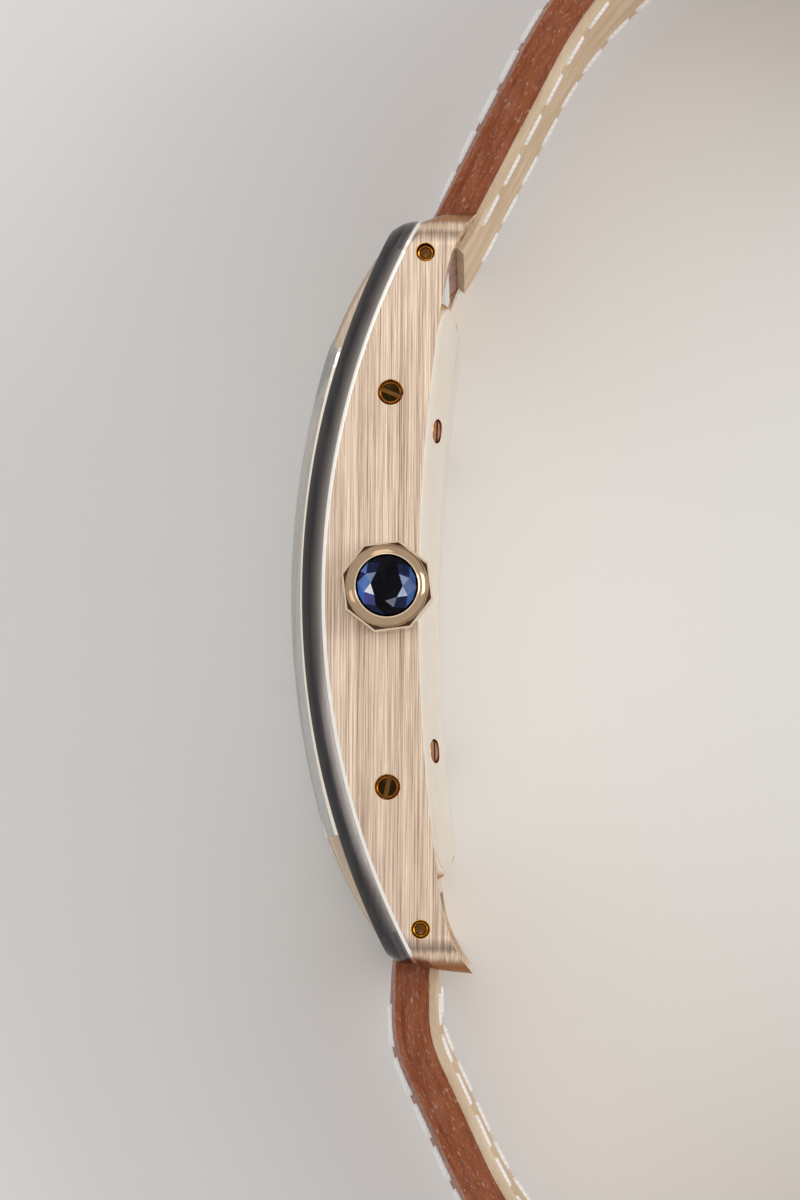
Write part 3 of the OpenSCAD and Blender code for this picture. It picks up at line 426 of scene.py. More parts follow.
def satin(name, tone, grain=(0.02, 5.5, 5.5), roughness=0.34, contrast=0.2, depth=0.0035, spread=0.0):
    """Straight satin grain along the case: long streaks, fine lines and broad pale bands."""
    f = Finish(name, tone, 1.0, roughness, Anisotropic=spread, Anisotropic_Rotation=0.25)
    if spread:
        grooves = f.node("Tangent", direction_type="RADIAL", axis="Y")
        f.link(grooves.outputs["Tangent"], f.shader.inputs["Tangent"])
    streak = f.grain(f.place(*grain), 1.0, 5.0, 0.68)
    lines = f.grain(f.place(*(g * 3.4 for g in grain)), 1.0, 3.0, 0.6)
    band = f.grain(f.place(*(g * 0.16 for g in grain)), 1.0, 1.0)
    both = f.add(f.ramp(streak, 0.32, 0.68, 0, 0.5), f.ramp(lines, 0.32, 0.68, 0, 0.5))
    wide = f.add(both, f.ramp(band, 0.3, 0.7, -0.12, 0.12))
    f.paint(f.vary(wide, shade(tone, 1 - 1.6 * contrast), shade(tone, 1 + contrast)))
    f.gloss(f.ramp(both, 0.1, 0.9, roughness + 0.08, roughness - 0.08))
    f.relief(both, depth)
    return f


def brushed(*makings):
    return satin(*makings).material


def bevel_painted_reflection(name, dark, light):
    """Polished bevel of the case painted as a dark reflection: deepest beside the rim, rising steeply to pale
    at the flank.
    """
    f = satin(name, light, (0.03, 2.2, 2.2), 0.16, 0.16, 0.001)
    hub = f.feed(
        f.node("VectorMath", operation="MULTIPLY_ADD"),
        (0, f.node("TexCoord").outputs["Object"]), (1, (1 / MM, 1 / MM, 0)), (2, (0, -FRONT_CENTRE[1], 0)),
    )
    reach = f.feed(f.node("VectorMath", operation="LENGTH"), (0, hub.outputs["Vector"]))
    inner = f.ramp(reach.outputs["Value"], 45.72, RAIL_R, 1.0, 0.0)
    streak = f.grain(f.place(0.05, 2.6, 2.6), 1.0, 4.0, 0.6)
    # The painted reflection darkens steeply towards the rim.
    painted_reflection_rise = f.add(f.reckon("POWER", inner, 3.6), f.ramp(streak, 0.3, 0.7, -0.03, 0.05))
    f.paint(f.vary(painted_reflection_rise, dark, light))
    return f.material


def case_flank(name, tone):
    """Brushed flank: fine broken lines over pale and dark streaks, with painted bands of shade, highlight and
    the strap's brown reflection where the lug tips roll over.
    """
    f = satin(name, tone, spread=0.75, roughness=0.42)
    streak = f.grain(f.place(0.045, 9, 0.8), 1.0, 5.0, 0.75)
    lines = f.grain(f.place(0.16, 21, 1.2), 1.0, 4.0, 0.7)
    band = f.grain(f.place(0.01, 1.3, 1.3), 1.0, 2.0)
    worn = f.add(f.ramp(streak, 0.41, 0.59, 0, 0.44), f.ramp(lines, 0.42, 0.58, 0, 0.48))
    worn = f.add(worn, f.ramp(band, 0.3, 0.7, -0.07, 0.21))
    streaks = f.vary(worn, shade(tone, 0.34, 0.31, 0.29), shade(tone, 1.42, 1.50, 1.56))
    axes = f.feed(f.node("SeparateXYZ"), (0, f.place(1, 1, 1)))
    far = f.reckon("ABSOLUTE", axes.outputs["X"], 0.0)
    ragged = f.add(far, f.ramp(f.grain(f.place(0.1, 9, 0.3), 1.0, 1.0), 0.3, 0.7, -0.07, 0.07))
    # Painted reflection bands across the rolled lug tips, by distance along the case: painted shade, painted
    # highlight, then the strap's brown painted reflection.
    painted_shade_band = f.times(f.ramp(ragged, 20.4, 21.0), f.ramp(ragged, 21.05, 21.3, 1, 0))
    pale = f.times(f.ramp(ragged, 21.2, 21.4), f.ramp(ragged, 21.45, 21.7, 1, 0))
    brown = f.ramp(ragged, 21.6, 21.85)
    rolled = f.mix(f.times(painted_shade_band, 0.62), streaks, (0.20, 0.125, 0.085, 1))
    rolled = f.mix(f.times(pale, 0.5), rolled, (0.92, 0.66, 0.47, 1))
    f.paint(f.mix(f.times(brown, 0.88), rolled, (0.42, 0.20, 0.085, 1)))
    f.gloss(f.ramp(worn, 0.1, 0.9, 0.5, 0.34))
    return f.material


def corner_painted_reflection(name, tone):
    """Painted dark reflection of the corner where the bevel turns in at a lug tip."""
    return brushed(name, tone, (0.05, 2.6, 2.6), 0.18, 0.16, 0.001)


def screw_metal(name, tone, roughness):
    return brushed(name, tone, (3, 9, 9), roughness, 0.3, 0.003)


case_gold = polished("polished_gold", (0.84, 0.66, 0.48), 0.13)
rim_gold = polished("rim_gold", (0.93, 0.83, 0.72), 0.10, 0.03)
# Near-white copy of the gold for painted highlights along edges.
edge_painted_glint = polished("edge_painted_highlight", (1.0, 0.95, 0.89), 0.25, 0.04)
flank_gold = case_flank("brushed_gold", (0.83, 0.545, 0.410))
hood_gold = brushed("satin_bars", (0.50, 0.40, 0.31), (0.05, 4, 4), 0.32, 0.1, 0.002)
# Painted dark reflection on the polished gold bevel.
bevel_painted_dark = bevel_painted_reflection("bevel_painted_dark_reflection", (0.046, 0.042, 0.045), (0.46, 0.41, 0.38))
corner_painted_dark = corner_painted_reflection("grey_corner", (0.065, 0.060, 0.062))
corner_painted_mid = corner_painted_reflection("grey_corner_mid", (0.115, 0.105, 0.105))
corner_painted_pale = corner_painted_reflection("grey_corner_pale", (0.24, 0.215, 0.205))
hole_amber = polished("amber_holes", (0.52, 0.27, 0.06), 0.14, 0.05, 0.002)
screw_dark = screw_metal("screw_top", (0.030, 0.016, 0.005), 0.2)
screw_amber = screw_metal("screw_amber", (0.17, 0.075, 0.02), 0.27)
bar_amber = polished("lug_bar_amber", (0.46, 0.27, 0.075), 0.2, 0.06, 0.002)
# Lug hole walls brighter than the case gold to make up for the shade inside: painted light.
lug_hole_painted_light = polished("lug_hole_painted_light_gold", (0.95, 0.60, 0.18), 0.16, 0.05, 0.002)
back_copper = screw_metal("back_screw_copper", (0.50, 0.24, 0.13), 0.3)
back_cream = polished("back_gold", (1.0, 0.90, 0.80), 0.17, 0.05)
crown_rose = polished("crown_gold", (0.47, 0.325, 0.205), 0.12, 0.04)
# Lighter and darker copies of the crown gold: painted highlight on edges, painted dark reflection on flat and
# outer faces.
crown_painted_glint = polished("crown_painted_glint_edges", (0.88, 0.70, 0.50), 0.2, 0.04)
crown_painted_dark = polished("crown_shadowed", (0.075, 0.042, 0.026), 0.12, 0.03)
steel_bright = polished("steel", (0.62, 0.63, 0.65), 0.2)
buckle_gold = polished("buckle_gold", (0.84, 0.66, 0.48), 0.15)


def sapphire_glass():
    f = Finish("sapphire_crystal", (0.80, 0.84, 0.88), 0.0, 0.03, IOR=1.6)
    # Alpha rises towards grazing view, so the pale base colour shows along the crystal's edges as a painted
    # sheen.
    rim = f.node("LayerWeight", Blend=0.5)
    dust = f.grain(f.place(1, 1, 1), 0.6, 2.0)
    clear = f.times(f.ramp(rim.outputs["Facing"], 0.5, 0.95, 0.06, 0.62), f.ramp(dust, 0.3, 0.7, 0.92, 1.08))
    f.link(clear, f.shader.inputs["Alpha"])
    return f.material


def facet(name, deep, lit, specular):
    """A painted reflection tone for one cut of the stone, cloudy with depth."""
    f = Finish(name, lit, 0.0, 0.04, IOR=1.5, Specular_IOR_Level=specular)
    depth = f.grain(f.place(0.9, 0.9, 0.9), 1.4, 3.0)
    flaw = f.cells(f.place(1, 1, 1), 2.6, "F1")
    cloud = f.add(f.ramp(depth, 0.32, 0.68), f.ramp(flaw, 0.1, 0.6, -0.15, 0.15))
    f.paint(f.vary(cloud, deep, lit))
    f.gloss(f.ramp(depth, 0.3, 0.7, 0.03, 0.09))
    return f.material


crystal_clear = sapphire_glass()
FACET_REFLECTIONS = {
    name: facet("stone_painted_reflection_" + name, deep, lit, specular) for name, deep, lit, specular in (
        ("night", (0.002, 0.002, 0.004), (0.006, 0.006, 0.010), 0.04),
        ("navy", (0.004, 0.007, 0.028), (0.012, 0.020, 0.075), 0.1),
        ("deep", (0.018, 0.045, 0.14), (0.045, 0.10, 0.30), 0.15),
        ("blue", (0.06, 0.12, 0.35), (0.12, 0.22, 0.60), 0.2),
        ("bright", (0.035, 0.11, 0.45), (0.08, 0.20, 0.75), 0.2),
        ("indigo", (0.035, 0.045, 0.18), (0.075, 0.095, 0.34), 0.2),
        ("steel", (0.12, 0.17, 0.30), (0.22, 0.29, 0.48), 0.3),
        ("silver", (0.30, 0.35, 0.50), (0.48, 0.54, 0.72), 0.4),
        ("pale", (0.70, 0.73, 0.84), (0.90, 0.92, 0.98), 0.5),
        ("ash", (0.10, 0.115, 0.155), (0.19, 0.205, 0.25), 0.2),
    )
}


def leather_edge():
    """Raw cut edge: burnt orange, in rough layers along the strap, with glossy flecks painted pale pink as
    highlights.
    """
    f = Finish("strap_edge", (0.36, 0.09, 0.02), 0.0, 0.5, Specular_IOR_Level=0.42)
    layers = f.grain(f.along(0.30, 2.4, 1.0), 1.5, 5.0, 0.65)
    fibres = f.grain(f.along(2.2, 6.5, 3.0), 1.25, 4.0, 0.62)
    patch = f.grain(f.along(0.5, 1.4, 1.0), 1.0, 2.0)
    base = f.vary(f.ramp(layers, 0.32, 0.7), (0.24, 0.045, 0.008), (0.43, 0.12, 0.032))
    base = f.mix(f.ramp(patch, 0.45, 0.75, 0.0, 0.5), base, (0.45, 0.16, 0.085, 1))
    # Pale pink flecks where the fibres are glossy: painted highlight, on top of their real lower roughness.
    light = f.ramp(fibres, 0.585, 0.67)
    f.paint(f.mix(f.times(light, 0.6), base, (0.78, 0.47, 0.38, 1)))
    f.gloss(f.ramp(fibres, 0.40, 0.70, 0.62, 0.22))
    f.relief(layers, 0.10)
    f.relief(f.ramp(fibres, 0.35, 0.75), 0.11)
    return f.material


def leather_front():
    """Smooth pinkish-brown leather with a fine pebbled grain and soft creases."""
    f = Finish("strap_front", (0.33, 0.13, 0.075), 0.0, 0.42)
    pebbles = f.cells(f.along(1, 1, 1), 1.9)
    tone = f.grain(f.along(0.12, 1, 0.3), 1.0, 4.0)
    crease = f.grain(f.along(1.4, 1, 0.22), 0.8, 3.0, 0.6)
    base = f.vary(f.ramp(tone, 0.3, 0.7), (0.27, 0.105, 0.065), (0.43, 0.205, 0.145))
    # Darker in the seams between the pebbles: painted shade.
    deep = f.ramp(pebbles, 0.0, 0.12, 0.35, 0.0)
    f.paint(f.mix(deep, base, (0.12, 0.04, 0.022, 1)))
    f.gloss(f.ramp(pebbles, 0.0, 0.35, 0.55, 0.36))
    f.relief(f.ramp(pebbles, 0.0, 0.3), 0.05)
    f.relief(crease, 0.1)
    return f.material


def leather_lining():
    """Cream suede-like lining with pores."""
    f = Finish("strap_lining", (0.64, 0.49, 0.33), 0.0, 0.72)
    pores = f.cells(f.along(1, 1, 1), 3.2, "F1")
    tone = f.grain(f.along(0.25, 1, 0.4), 1.0, 4.0)
    base = f.vary(f.ramp(tone, 0.3, 0.7), (0.56, 0.40, 0.25), (0.70, 0.55, 0.39))
    # Darker in the pores: painted shade.
    f.paint(f.mix(f.ramp(pores, 0.0, 0.16, 0.45, 0.0), base, (0.40, 0.27, 0.17, 1)))
    f.relief(pores, 0.05)
    return f.material


def waxed_thread():
    """White twisted thread."""
    f = Finish("white_thread", (0.86, 0.85, 0.84), 0.0, 0.6)
    ply = f.node("TexWave", bands_direction="DIAGONAL", Scale=1.5, Distortion=0.6)
    f.link(f.along(1, 1, 1), ply.inputs["Vector"])
    f.paint(f.vary(ply.outputs["Fac"], (0.84, 0.83, 0.82), (0.96, 0.95, 0.94)))
    f.relief(ply.outputs["Fac"], 0.02)
    return f.material


edge_leather = leather_edge()
front_leather = leather_front()
cream_lining = leather_lining()
stitch_white = waxed_thread()


# Case


def side_plate():
    """The side view of the rails: leaning lug ends and a hollow back that flares below them."""
    tip_y, flare_x, flare_y, flare_turn = 6.089, 17.197, 12.212, -31.64
    pen = Pen("side_view", -HALF_LENGTH, tip_y, -0.5)
    pen.line(-20.949, -8)
    pen.line(20.949, -8)
    pen.line(HALF_LENGTH, tip_y)
    pen.arc((flare_x, flare_y), flare_turn, 16)
    pen.arc(BACK_CENTRE, -18.514, 72)
    pen.arc((-flare_x, flare_y), flare_turn, 16)
    return pen.draw_out(27.6)


# Radius and height along the wide bevel, from the flank down to the crest of the rail.
SHOULDER = [
    (45.60, FLANK_TOP), (45.80, 26.555), (45.93, 26.50), (46.132, 26.367), (46.32, 26.235),
    (46.485, 26.085), (46.64, 25.92), (46.767, 25.732), (46.90, 25.53), (RAIL_R, 25.33),
]


def shoulder_turn():
    """The lathe form whose rims are the wide bevels beside the flanks."""
    half = [(45.52, 28)] + SHOULDER
    lower = [(r, FLANK_TOP - z) for r, z in reversed(half)]
    return turned("rail_turn", FRONT_CENTRE, [(31, -1.4), (31, 28)] + half + lower, 150, 66)


def tip_bevel(end):
    """What the wide bevel takes off round the two corners of a lug end; end is 1 at 12 o'clock."""
    corner_r, corner_x, depth, wide = 2.27, 11, -5.27, 6.3
    section = [(wide, depth)] + [(corner_r + z - FLANK_TOP, r - RAIL_R) for r, z in SHOULDER] + [(0, 1.0)]
    tool = box("tip_bevel", (28.6, 5, 7), (0, 2.5, -0.5))
    for side in (-corner_x, corner_x):
        cut(tool, turned("kept_corner", (side, 0), [(0, depth)] + section, 96))
    run = outline("kept_run", [(-1, depth)] + section + [(-1, 1.0)], -corner_x, corner_x)
    for v in run.data.vertices:
        v.co = (v.co.z, v.co.x, v.co.y)
    cut(tool, run)
    # Painted reflection on the turned-in corner: a painted highlight line beside the flank, then pale, mid
    # and dark painted reflection towards the rim.
    cover(tool, corner_painted_dark)
    paint(tool, flank_gold, lambda c, n: c.z < -1.41)
    for metal, low, high, slope in (
        (edge_painted_glint, -1.41, -1.19, 0.35), (corner_painted_pale, -1.19, -0.97, 0.9), (corner_painted_mid, -0.97, -0.77, 0.9),
    ):
        paint(tool, metal, lambda c, n: low < c.z < high and 0.1 < abs(n.z) < slope)
    tip_x = 20.5
    lie = asin(tip_x / RAIL_R)
    c, s = cos(lie), sin(lie)
    move(tool, Matrix((
        (0, -end * c, -end * s, -end * tip_x), (0, s, -c, 0.556), (end, 0, 0, MID_Z), (0, 0, 0, 1)
    )))
    outwards(tool, 0.0002)
    return tool


def end_bar(sign):
    """Bar over the strap, proud of the rails beside the crystal and sinking towards the lug end."""
    near, far, foot, half_width, steps = 14.0, 20.9, 2.4, 11.43, 22
    pen = Pen("end_bar", sign * near, foot, MID_Z - half_width)
    for i in range(steps + 1):
        x = near + 6.9 * i / steps
        reach = 47.64 - 0.74 * (i / steps) ** 1.8
        pen.line(sign * x, FRONT_CENTRE[1] - sqrt(reach**2 - x**2))
    pen.line(sign * far, foot)
    bar = pen.draw_out(2 * half_width)
    soften(bar, 0.4, 24, 6)
    cover(bar, hood_gold)
    return bar


def drill(name, radius, x, y, depth, wall, flare=0.05):
    """Cutter for a hole in the upper flank, with a small chamfer at its mouth."""
    tool = turned(name, (x, y), [
        (0, FLANK_TOP - depth), (radius, FLANK_TOP - depth), (radius, FLANK_TOP - flare),
        (radius + flare, FLANK_TOP), (radius + flare + 0.4, FLANK_TOP + 0.4), (0, FLANK_TOP + 0.4)], 56)
    cover(tool, wall)
    return tool


def strap_room(sign):
    """Space between the lugs: round about the bar and open behind it and beyond it."""
    x, y = LUG_HOLE
    span = (MID_Z - ROOM_HALF, MID_Z + ROOM_HALF)
    room = rod("strap_room", 2.1, sign * x, y, *span, 64)
    corners = [(17.8, y), (17.8, 12), (27, 12), (27, -9), (20.8, -9), (20.8, y)]
    cut(room, outline("room_behind", [(sign * a, b) for a, b in corners], *span), "UNION")
    return room


def curved_room(name, hx, hz, corner, centre, r_in, r_out):
    """Space with round corners between two radii about an upright axis."""
    block = rounded_block(name, hx, hz, corner, -9, 9)
    shell = [(r_in, -2), (r_out, -2), (r_out, 29), (r_in, 29)]
    cut(block, turned("shell", centre, shell, 120, 46), "INTERSECT")
    return block


def on_flank(c, n):
    """On a flank, or on a lug tip where the flank rolls over."""
    side = abs(c.z - MID_Z)
    tip = abs(c.x) > 20.2 and abs(n.y) < 0.4 and side > 10.9
    return (side > 13.29 and abs(n.z) > 0.9) or (tip and abs(n.z * 0.7 + abs(n.x) * 0.7) > 0.1)


def on_glint(c, n):
    """On the narrow facet between a flank and its bevel, painted as a highlight."""
    away = hypot(c.x, c.y - FRONT_CENTRE[1])
    return 45.6 < away < 45.8 and abs(c.z - MID_Z) > 13.24 and 0.9 < abs(n.z) < 0.995


def on_bevel(c, n):
    away = Vector((c.x, c.y - FRONT_CENTRE[1], 0))
    outward = n.dot(away.normalized()) > 0.25 and abs(n.z) > 0.2
    return 45.79 < away.length < RAIL_R and 12.02 < abs(c.z - MID_Z) < 13.28 and outward


def build_case():
    case = side_plate()
    cut(case, shoulder_turn(), "INTERSECT")
    cut(case, rounded_block("plan_view", HALF_LENGTH, MID_Z, 2.3, -9, 9, 24), "INTERSECT")
    case.name = "case_shell"
    cover(case, case_gold)
    for end in (-1, 1):
        cut(case, tip_bevel(end))
    outwards(case, 0.012)
    # Every sharp edge gets a small bevel painted with the near-white glint gold: a painted highlight.
    edit_all(case, "EDGE")
    bpy.ops.mesh.select_all(action="DESELECT")
    bpy.ops.mesh.edges_select_sharp(sharpness=radians(18))
    bpy.ops.mesh.bevel(offset=0.075, segments=2, affect="EDGES", clamp_overlap=True)
    case.data.materials.append(edge_painted_glint)
    case.active_material_index = 1
    bpy.ops.mesh.select_mode(type="FACE")
    bpy.ops.object.material_slot_assign()
    for sign in (-1, 1):
        cut(case, end_bar(sign), "UNION")
    for sign in (-1, 1):
        cut(case, strap_room(sign))
    cut(case, curved_room("movement_room", 14.6, 10.6, 1.5, GLASS_CENTRE, 38, 46.68))
    cut(case, rounded_block("sight", 13.8, 9.9, 1.5, -9, 3))
    cut(case, curved_room("rim_seat", 15.63, 11.78, 2.45, GLASS_CENTRE, 48.5, 55))
    for sign in (-1, 1):
        for top in (True, False):
            for tool in (
                drill("lug_hole", 0.525, sign * LUG_HOLE[0], LUG_HOLE[1], 4, lug_hole_painted_light, 0.05),
                drill("screw_hole", 0.70, sign * SCREW_HOLE[0], SCREW_HOLE[1], 0.8, hole_amber, 0.06),
            ):
                cut(case, tool if top else flip_over(tool))
    cut(case, rod("tube_hole", 1.12, *CROWN_CENTRE, 22, 28))

    def spot(centre):
        return tuple(round(k, 4) for k in centre)

    plain = case.data.materials.find(case_gold.name)
    is_plain = {spot(p.center): p.material_index == plain for p in case.data.polygons}
    # Flanks get the brushed gold, the glint facet a painted highlight, the bevels a painted dark reflection.
    for material, chosen in ((flank_gold, on_flank), (edge_painted_glint, on_glint), (bevel_painted_dark, on_bevel)):
        paint(case, material, lambda c, n: is_plain.get(spot(c)) and chosen(c, n))
    set_down(case, "case", ["case_body"], 32)


def build_bezel():
    rim = curved_room("bezel_rim", 15.62, 11.77, 2.44, GLASS_CENTRE, 48.5, 49.45)
    cut(rim, rounded_block("glass_gap", 15.18, 11.33, 2.0, -9, 9))
    outwards(rim)
    soften(rim, 0.08, 40, 3)
    cover(rim, rim_gold)
    set_down(rim, "case", ["bezel"], 35)


def build_crystal():
    glass = curved_room("crystal_glass", 15.15, 11.3, 2.0, GLASS_CENTRE, 48.8, 50)
    outwards(glass)
    soften(glass, 0.12, 40, 3)
    cover(glass, crystal_clear)
    set_down(glass, "case", ["crystal"], 35)


def build_back():
    """Case back: hollow along the wrist, rolled up to the flanks, round at its ends."""
    outer_r, side, wide, half, end_r = 113.77, 4.2, 12.9, 17.4, 2.2
    roll = []
    for i in range(11):
        a = radians(90 * i / 10)
        if BACK_ROLL * sin(a) < side:
            roll.append((outer_r + BACK_ROLL * (1 - cos(a)), wide - side + BACK_ROLL * sin(a)))
    roll.append((outer_r + BACK_ROLL - sqrt(BACK_ROLL**2 - side**2), wide))
    section = [(BACK_R, MID_Z - wide), (BACK_R, MID_Z + wide)]
    section += [(r, MID_Z + s) for r, s in reversed(roll)] + [(r, MID_Z - s) for r, s in roll]
    back = turned("back_cover", BACK_CENTRE, section, 110, 22)
    low, high, turn_x = -9, 9, half - end_r
    edge_y = BACK_CENTRE[1] - sqrt(outer_r**2 - turn_x**2)
    ends = Pen("back_ends", -half, low, -1)
    ends.line(half, low)
    ends.line(half, edge_y - end_r)
    ends.arc((turn_x, edge_y - end_r), 90, 14)
    ends.line(turn_x, high)
    ends.line(-turn_x, high)
    ends.line(-turn_x, edge_y)
    ends.arc((-turn_x, edge_y - end_r), 90, 14)
    cut(back, ends.draw_out(30), "INTERSECT")
    cut(back, rounded_block("back_plan", half, wide, 2.6, low, 12), "INTERSECT")
    outwards(back, 0.002)
    cover(back, back_cream)
    soften(back, 0.06, 38, 2)
    for corner in CORNERS:
        mouth = [(0, 0), (0.72, 0), (0.72, 0.62), (0.80, 0.70), (1.2, 1.4), (0, 1.4)]
        tool = turned("back_hole", (0, 0), mouth, 40)
        cover(tool, back_copper)
        move(tool, back_seat(*corner))
        cut(back, tool)
    set_down(back, "case", ["case_back"], 32)


def back_seat(sx, sz):
    """Where a back screw's head sits: local +Z out of the rounded side of the cover."""
    thickness, sunk, screw_x, screw_z = 1.23, 0.6, 9.5, 11.4
    lean = radians(20)
    drop = BACK_ROLL * (1 - cos(lean)) + sunk
    hub = Matrix.Translation((*BACK_CENTRE, MID_Z + sz * screw_z))
    swing = Matrix.Rotation(-sx * asin(screw_x / BACK_R), 4, "Z")
    reach = Matrix.Translation((0, -(BACK_R - thickness + drop), 0))
    out = Matrix.Rotation(-pi / 2 + sz * lean, 4, "X")
    return hub @ swing @ reach @ out


# Screws


def screw_head(name, slot_turn, top_metal, slot_metal, rim_metal, top):
    """Slotted screw with a broad polished rim; its slot has crisp walls."""
    screw = turned(name, (0, 0), [
        (0, -1.2), (0.4, -1.2), (0.4, 0), (0.67, 0), (0.69, 0.03), (0.69, top - 0.15), (0.668, top - 0.08),
        (0.62, top - 0.03), (0.555, top), (0, top + 0.012)], 56)
    cover(screw, top_metal)
    slot = box("slot", (3, 0.28, 1.0), (0, 0, top + 0.3), slot_turn)
    cover(slot, slot_metal)
    cut(screw, slot)
    outwards(screw)
    soften(screw, 0.014, 50, 1)
    paint(screw, rim_metal, lambda c, n: 0.56 < hypot(c.x, c.y) < 0.695 and c.z > top - 0.2
          and n.x * c.x + n.y * c.y > 0.1)
    return screw


def build_flank_screws():
    screws = []
    x, y = SCREW_HOLE
    head, sunk = 0.5, 0.25
    for side, turn in ((-x, 68), (x, 168)):
        for top in (True, False):
            screw = screw_head("flank_screw", turn, screw_dark, screw_amber, hole_amber, head)
            edit_all(screw)
            bpy.ops.transform.translate(value=(side, y, FLANK_TOP - sunk - head))
            deselect()
            screws.append(screw if top else flip_over(screw))
    set_down(join("flank_screw_set", screws), "case", ["flank_screws"], 32)


def build_back_screws():
    screws = []
    for sx, sz in CORNERS:
        screw = screw_head("back_screw", 8 * sx, back_copper, back_copper, hole_amber, 0.5)
        move(screw, back_seat(sx, sz))
        screws.append(screw)
    set_down(join("back_screw_set", screws), "case", ["back_screws"], 32)


def build_lug_bars():
    """Bars between the lugs, their upper ends dished."""
    y = LUG_HOLE[1]
    for name, x in (("lug_bar_12", -LUG_HOLE[0]), ("lug_bar_6", LUG_HOLE[0])):
        bar = turned(name + "_pin", (x, y), [
            (0, 0.7), (0.3, 0.7), (0.5, 0.86), (0.5, 25.74), (0.44, 25.86), (0.36, 25.90), (0.3, 25.82),
            (0.0, 25.72)], 40)
        cover(bar, bar_amber)
        # Darker centre of the dished end: painted shade in the hollow.
        paint(bar, screw_amber, lambda c, n: hypot(c.x - x, c.y - y) < 0.34)
        set_down(bar, "case", [name])


# Crown and stone


def build_crown():
    """Octagon turned down to a round polished ring with a seat for the stone."""
    base = CROWN_BASE
    crown = cylinder("crown_head", 2.760, 2.66, (*CROWN_CENTRE, base + 1.33), 8, (0, 0, 30))
    foot = [(0, 0), (2.26, -0.001), (2.5, 0.12), (2.79, 0.42), (2.79, 3), (0, 3)]
    cut(crown, turned("crown_foot", CROWN_CENTRE, [(r, base + h) for r, h in foot], 96), "INTERSECT")
    outwards(crown, 0.001)
    edit_chosen(crown, edges=lambda a, b: a.z > base + 2.65 and b.z > base + 2.65)
    bevel_chosen(0.11, 1)
    cover(crown, crown_rose)
    # Painted dark reflection on the octagon's flat top, painted highlight on its bevelled top edges.
    paint(crown, crown_painted_dark, lambda c, n: c.z > base + 2.6 and n.z > 0.9)
    paint(crown, crown_painted_glint, lambda c, n: c.z > base + 2.5 and 0.5 < n.z < 0.9)
    form = [
        (0, 2.0), (2.42, 2.0), (2.42, 3.02), (2.38, 3.12), (2.31, 3.22), (2.22, 3.31), (2.12, 3.375),
        (2.02, 3.42), (1.92, 3.44), (1.885, 3.455), (1.85, 3.49), (1.81, 3.49), (1.78, 3.44), (1.75, 3.30),
        (1.48, 3.10), (0, 3.10),
    ]
    ring = turned("crown_ring", CROWN_CENTRE, [(r, base + h) for r, h in form], 128)
    cover(ring, crown_rose)
    y = CROWN_CENTRE[1]
    # Painted dark reflection on the ring's outer wall, painted highlight on the top of its lip.
    paint(ring, crown_painted_dark, lambda c, n: abs(n.z) < 0.2 and 2.3 < hypot(c.x, c.y - y) < 2.45)
    paint(ring, crown_painted_glint, lambda c, n: c.z > base + 3.46)
    cut(crown, ring, "UNION")
    cut(crown, rod("tube_room", 1.3, *CROWN_CENTRE, base - 1, base + 1.5))
    outwards(crown, 0.001)
    soften(crown, 0.015, 38, 1)
    set_down(crown, "crown_assembly", ["crown"], 22)


def build_stone():
    """Brilliant cut: octagonal table, stars, kites and upper halves down to a thin girdle."""
    floor_z = CROWN_BASE + 3.15
    x, y = CROWN_CENTRE
    # Corners in each ring, their turn in degrees, radius and height, from the table down.
    rings = [
        (8, 0.0, 0.94, 0.98), (8, 22.5, 1.36, 0.78), (16, 0.0, 1.715, 0.42), (16, 0.0, 1.72, 0.36),
        (16, 0.0, 1.48, 0.012),
    ]
    points, where = [], []
    for count, shift, radius, height in rings:
        where.append(len(points))
        for i in range(count):
            a = radians(40 + shift + 360 * i / count)
            points.append((x + radius * cos(a), y + radius * sin(a), floor_z + height))
    table, star, girdle, under, base = where
    # Each facet has a fixed tone standing for the light it reflects: painted reflections, pale to silver for
    # lit facets and night for dark ones.
    faces, tones = [tuple(range(8))], ["night"]
    stars = ("silver", "steel", "night", "night", "steel", "pale", "night", "ash")
    kites = ("navy", "deep", "navy", "night", "navy", "blue", "indigo", "night")
    halves = ("deep", "deep", "night", "night", "blue", "bright", "navy", "night")
    for i in range(8):
        near = girdle + 2 * i
        faces += [
            (table + i, star + i, table + (i + 1) % 8), (table + i, star + (i - 1) % 8, near, star + i),
            (star + i, near, near + 1), (star + i, near + 1, girdle + (2 * i + 2) % 16),
        ]
        tones += [stars[i], kites[i], halves[i], "navy" if halves[i] == "blue" else halves[i]]
    for i in range(16):
        j = (i + 1) % 16
        faces += [(girdle + i, under + i, under + j, girdle + j), (under + i, base + i, base + j, under + j)]
        tones += ["navy", "night"]
    faces.append(tuple(base + i for i in reversed(range(16))))
    tones.append("night")
    mesh = bpy.data.meshes.new("cut_stone")
    mesh.from_pydata(points, [], faces)
    stone = bpy.data.objects.new("cut_stone", mesh)
    bpy.context.scene.collection.objects.link(stone)
    for material in FACET_REFLECTIONS.values():
        mesh.materials.append(material)
    mesh.polygons.foreach_set("material_index", [list(FACET_REFLECTIONS).index(t) for t in tones])
    outwards(stone, 0.0005)
    set_down(stone, "crown_assembly", ["crown_stone"], 1)


def dress(names, material):
    """Puts a material on pieces that are shown as they come from the frame."""
    for name in names:
        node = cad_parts[name]
        node.data.materials.clear()
        node.data.materials.append(material)


# Strap


# Heights over the route of the lining's face and of the leather's two faces.
LINING_LOW = -1.385
LEATHER_LOW = -0.805
LEATHER_HIGH = 1.345
STITCH_INSET = 1.35
STITCH_PITCH = 2.75


def clamp(value, low=0, high=1):
    return min(max(value, low), high)


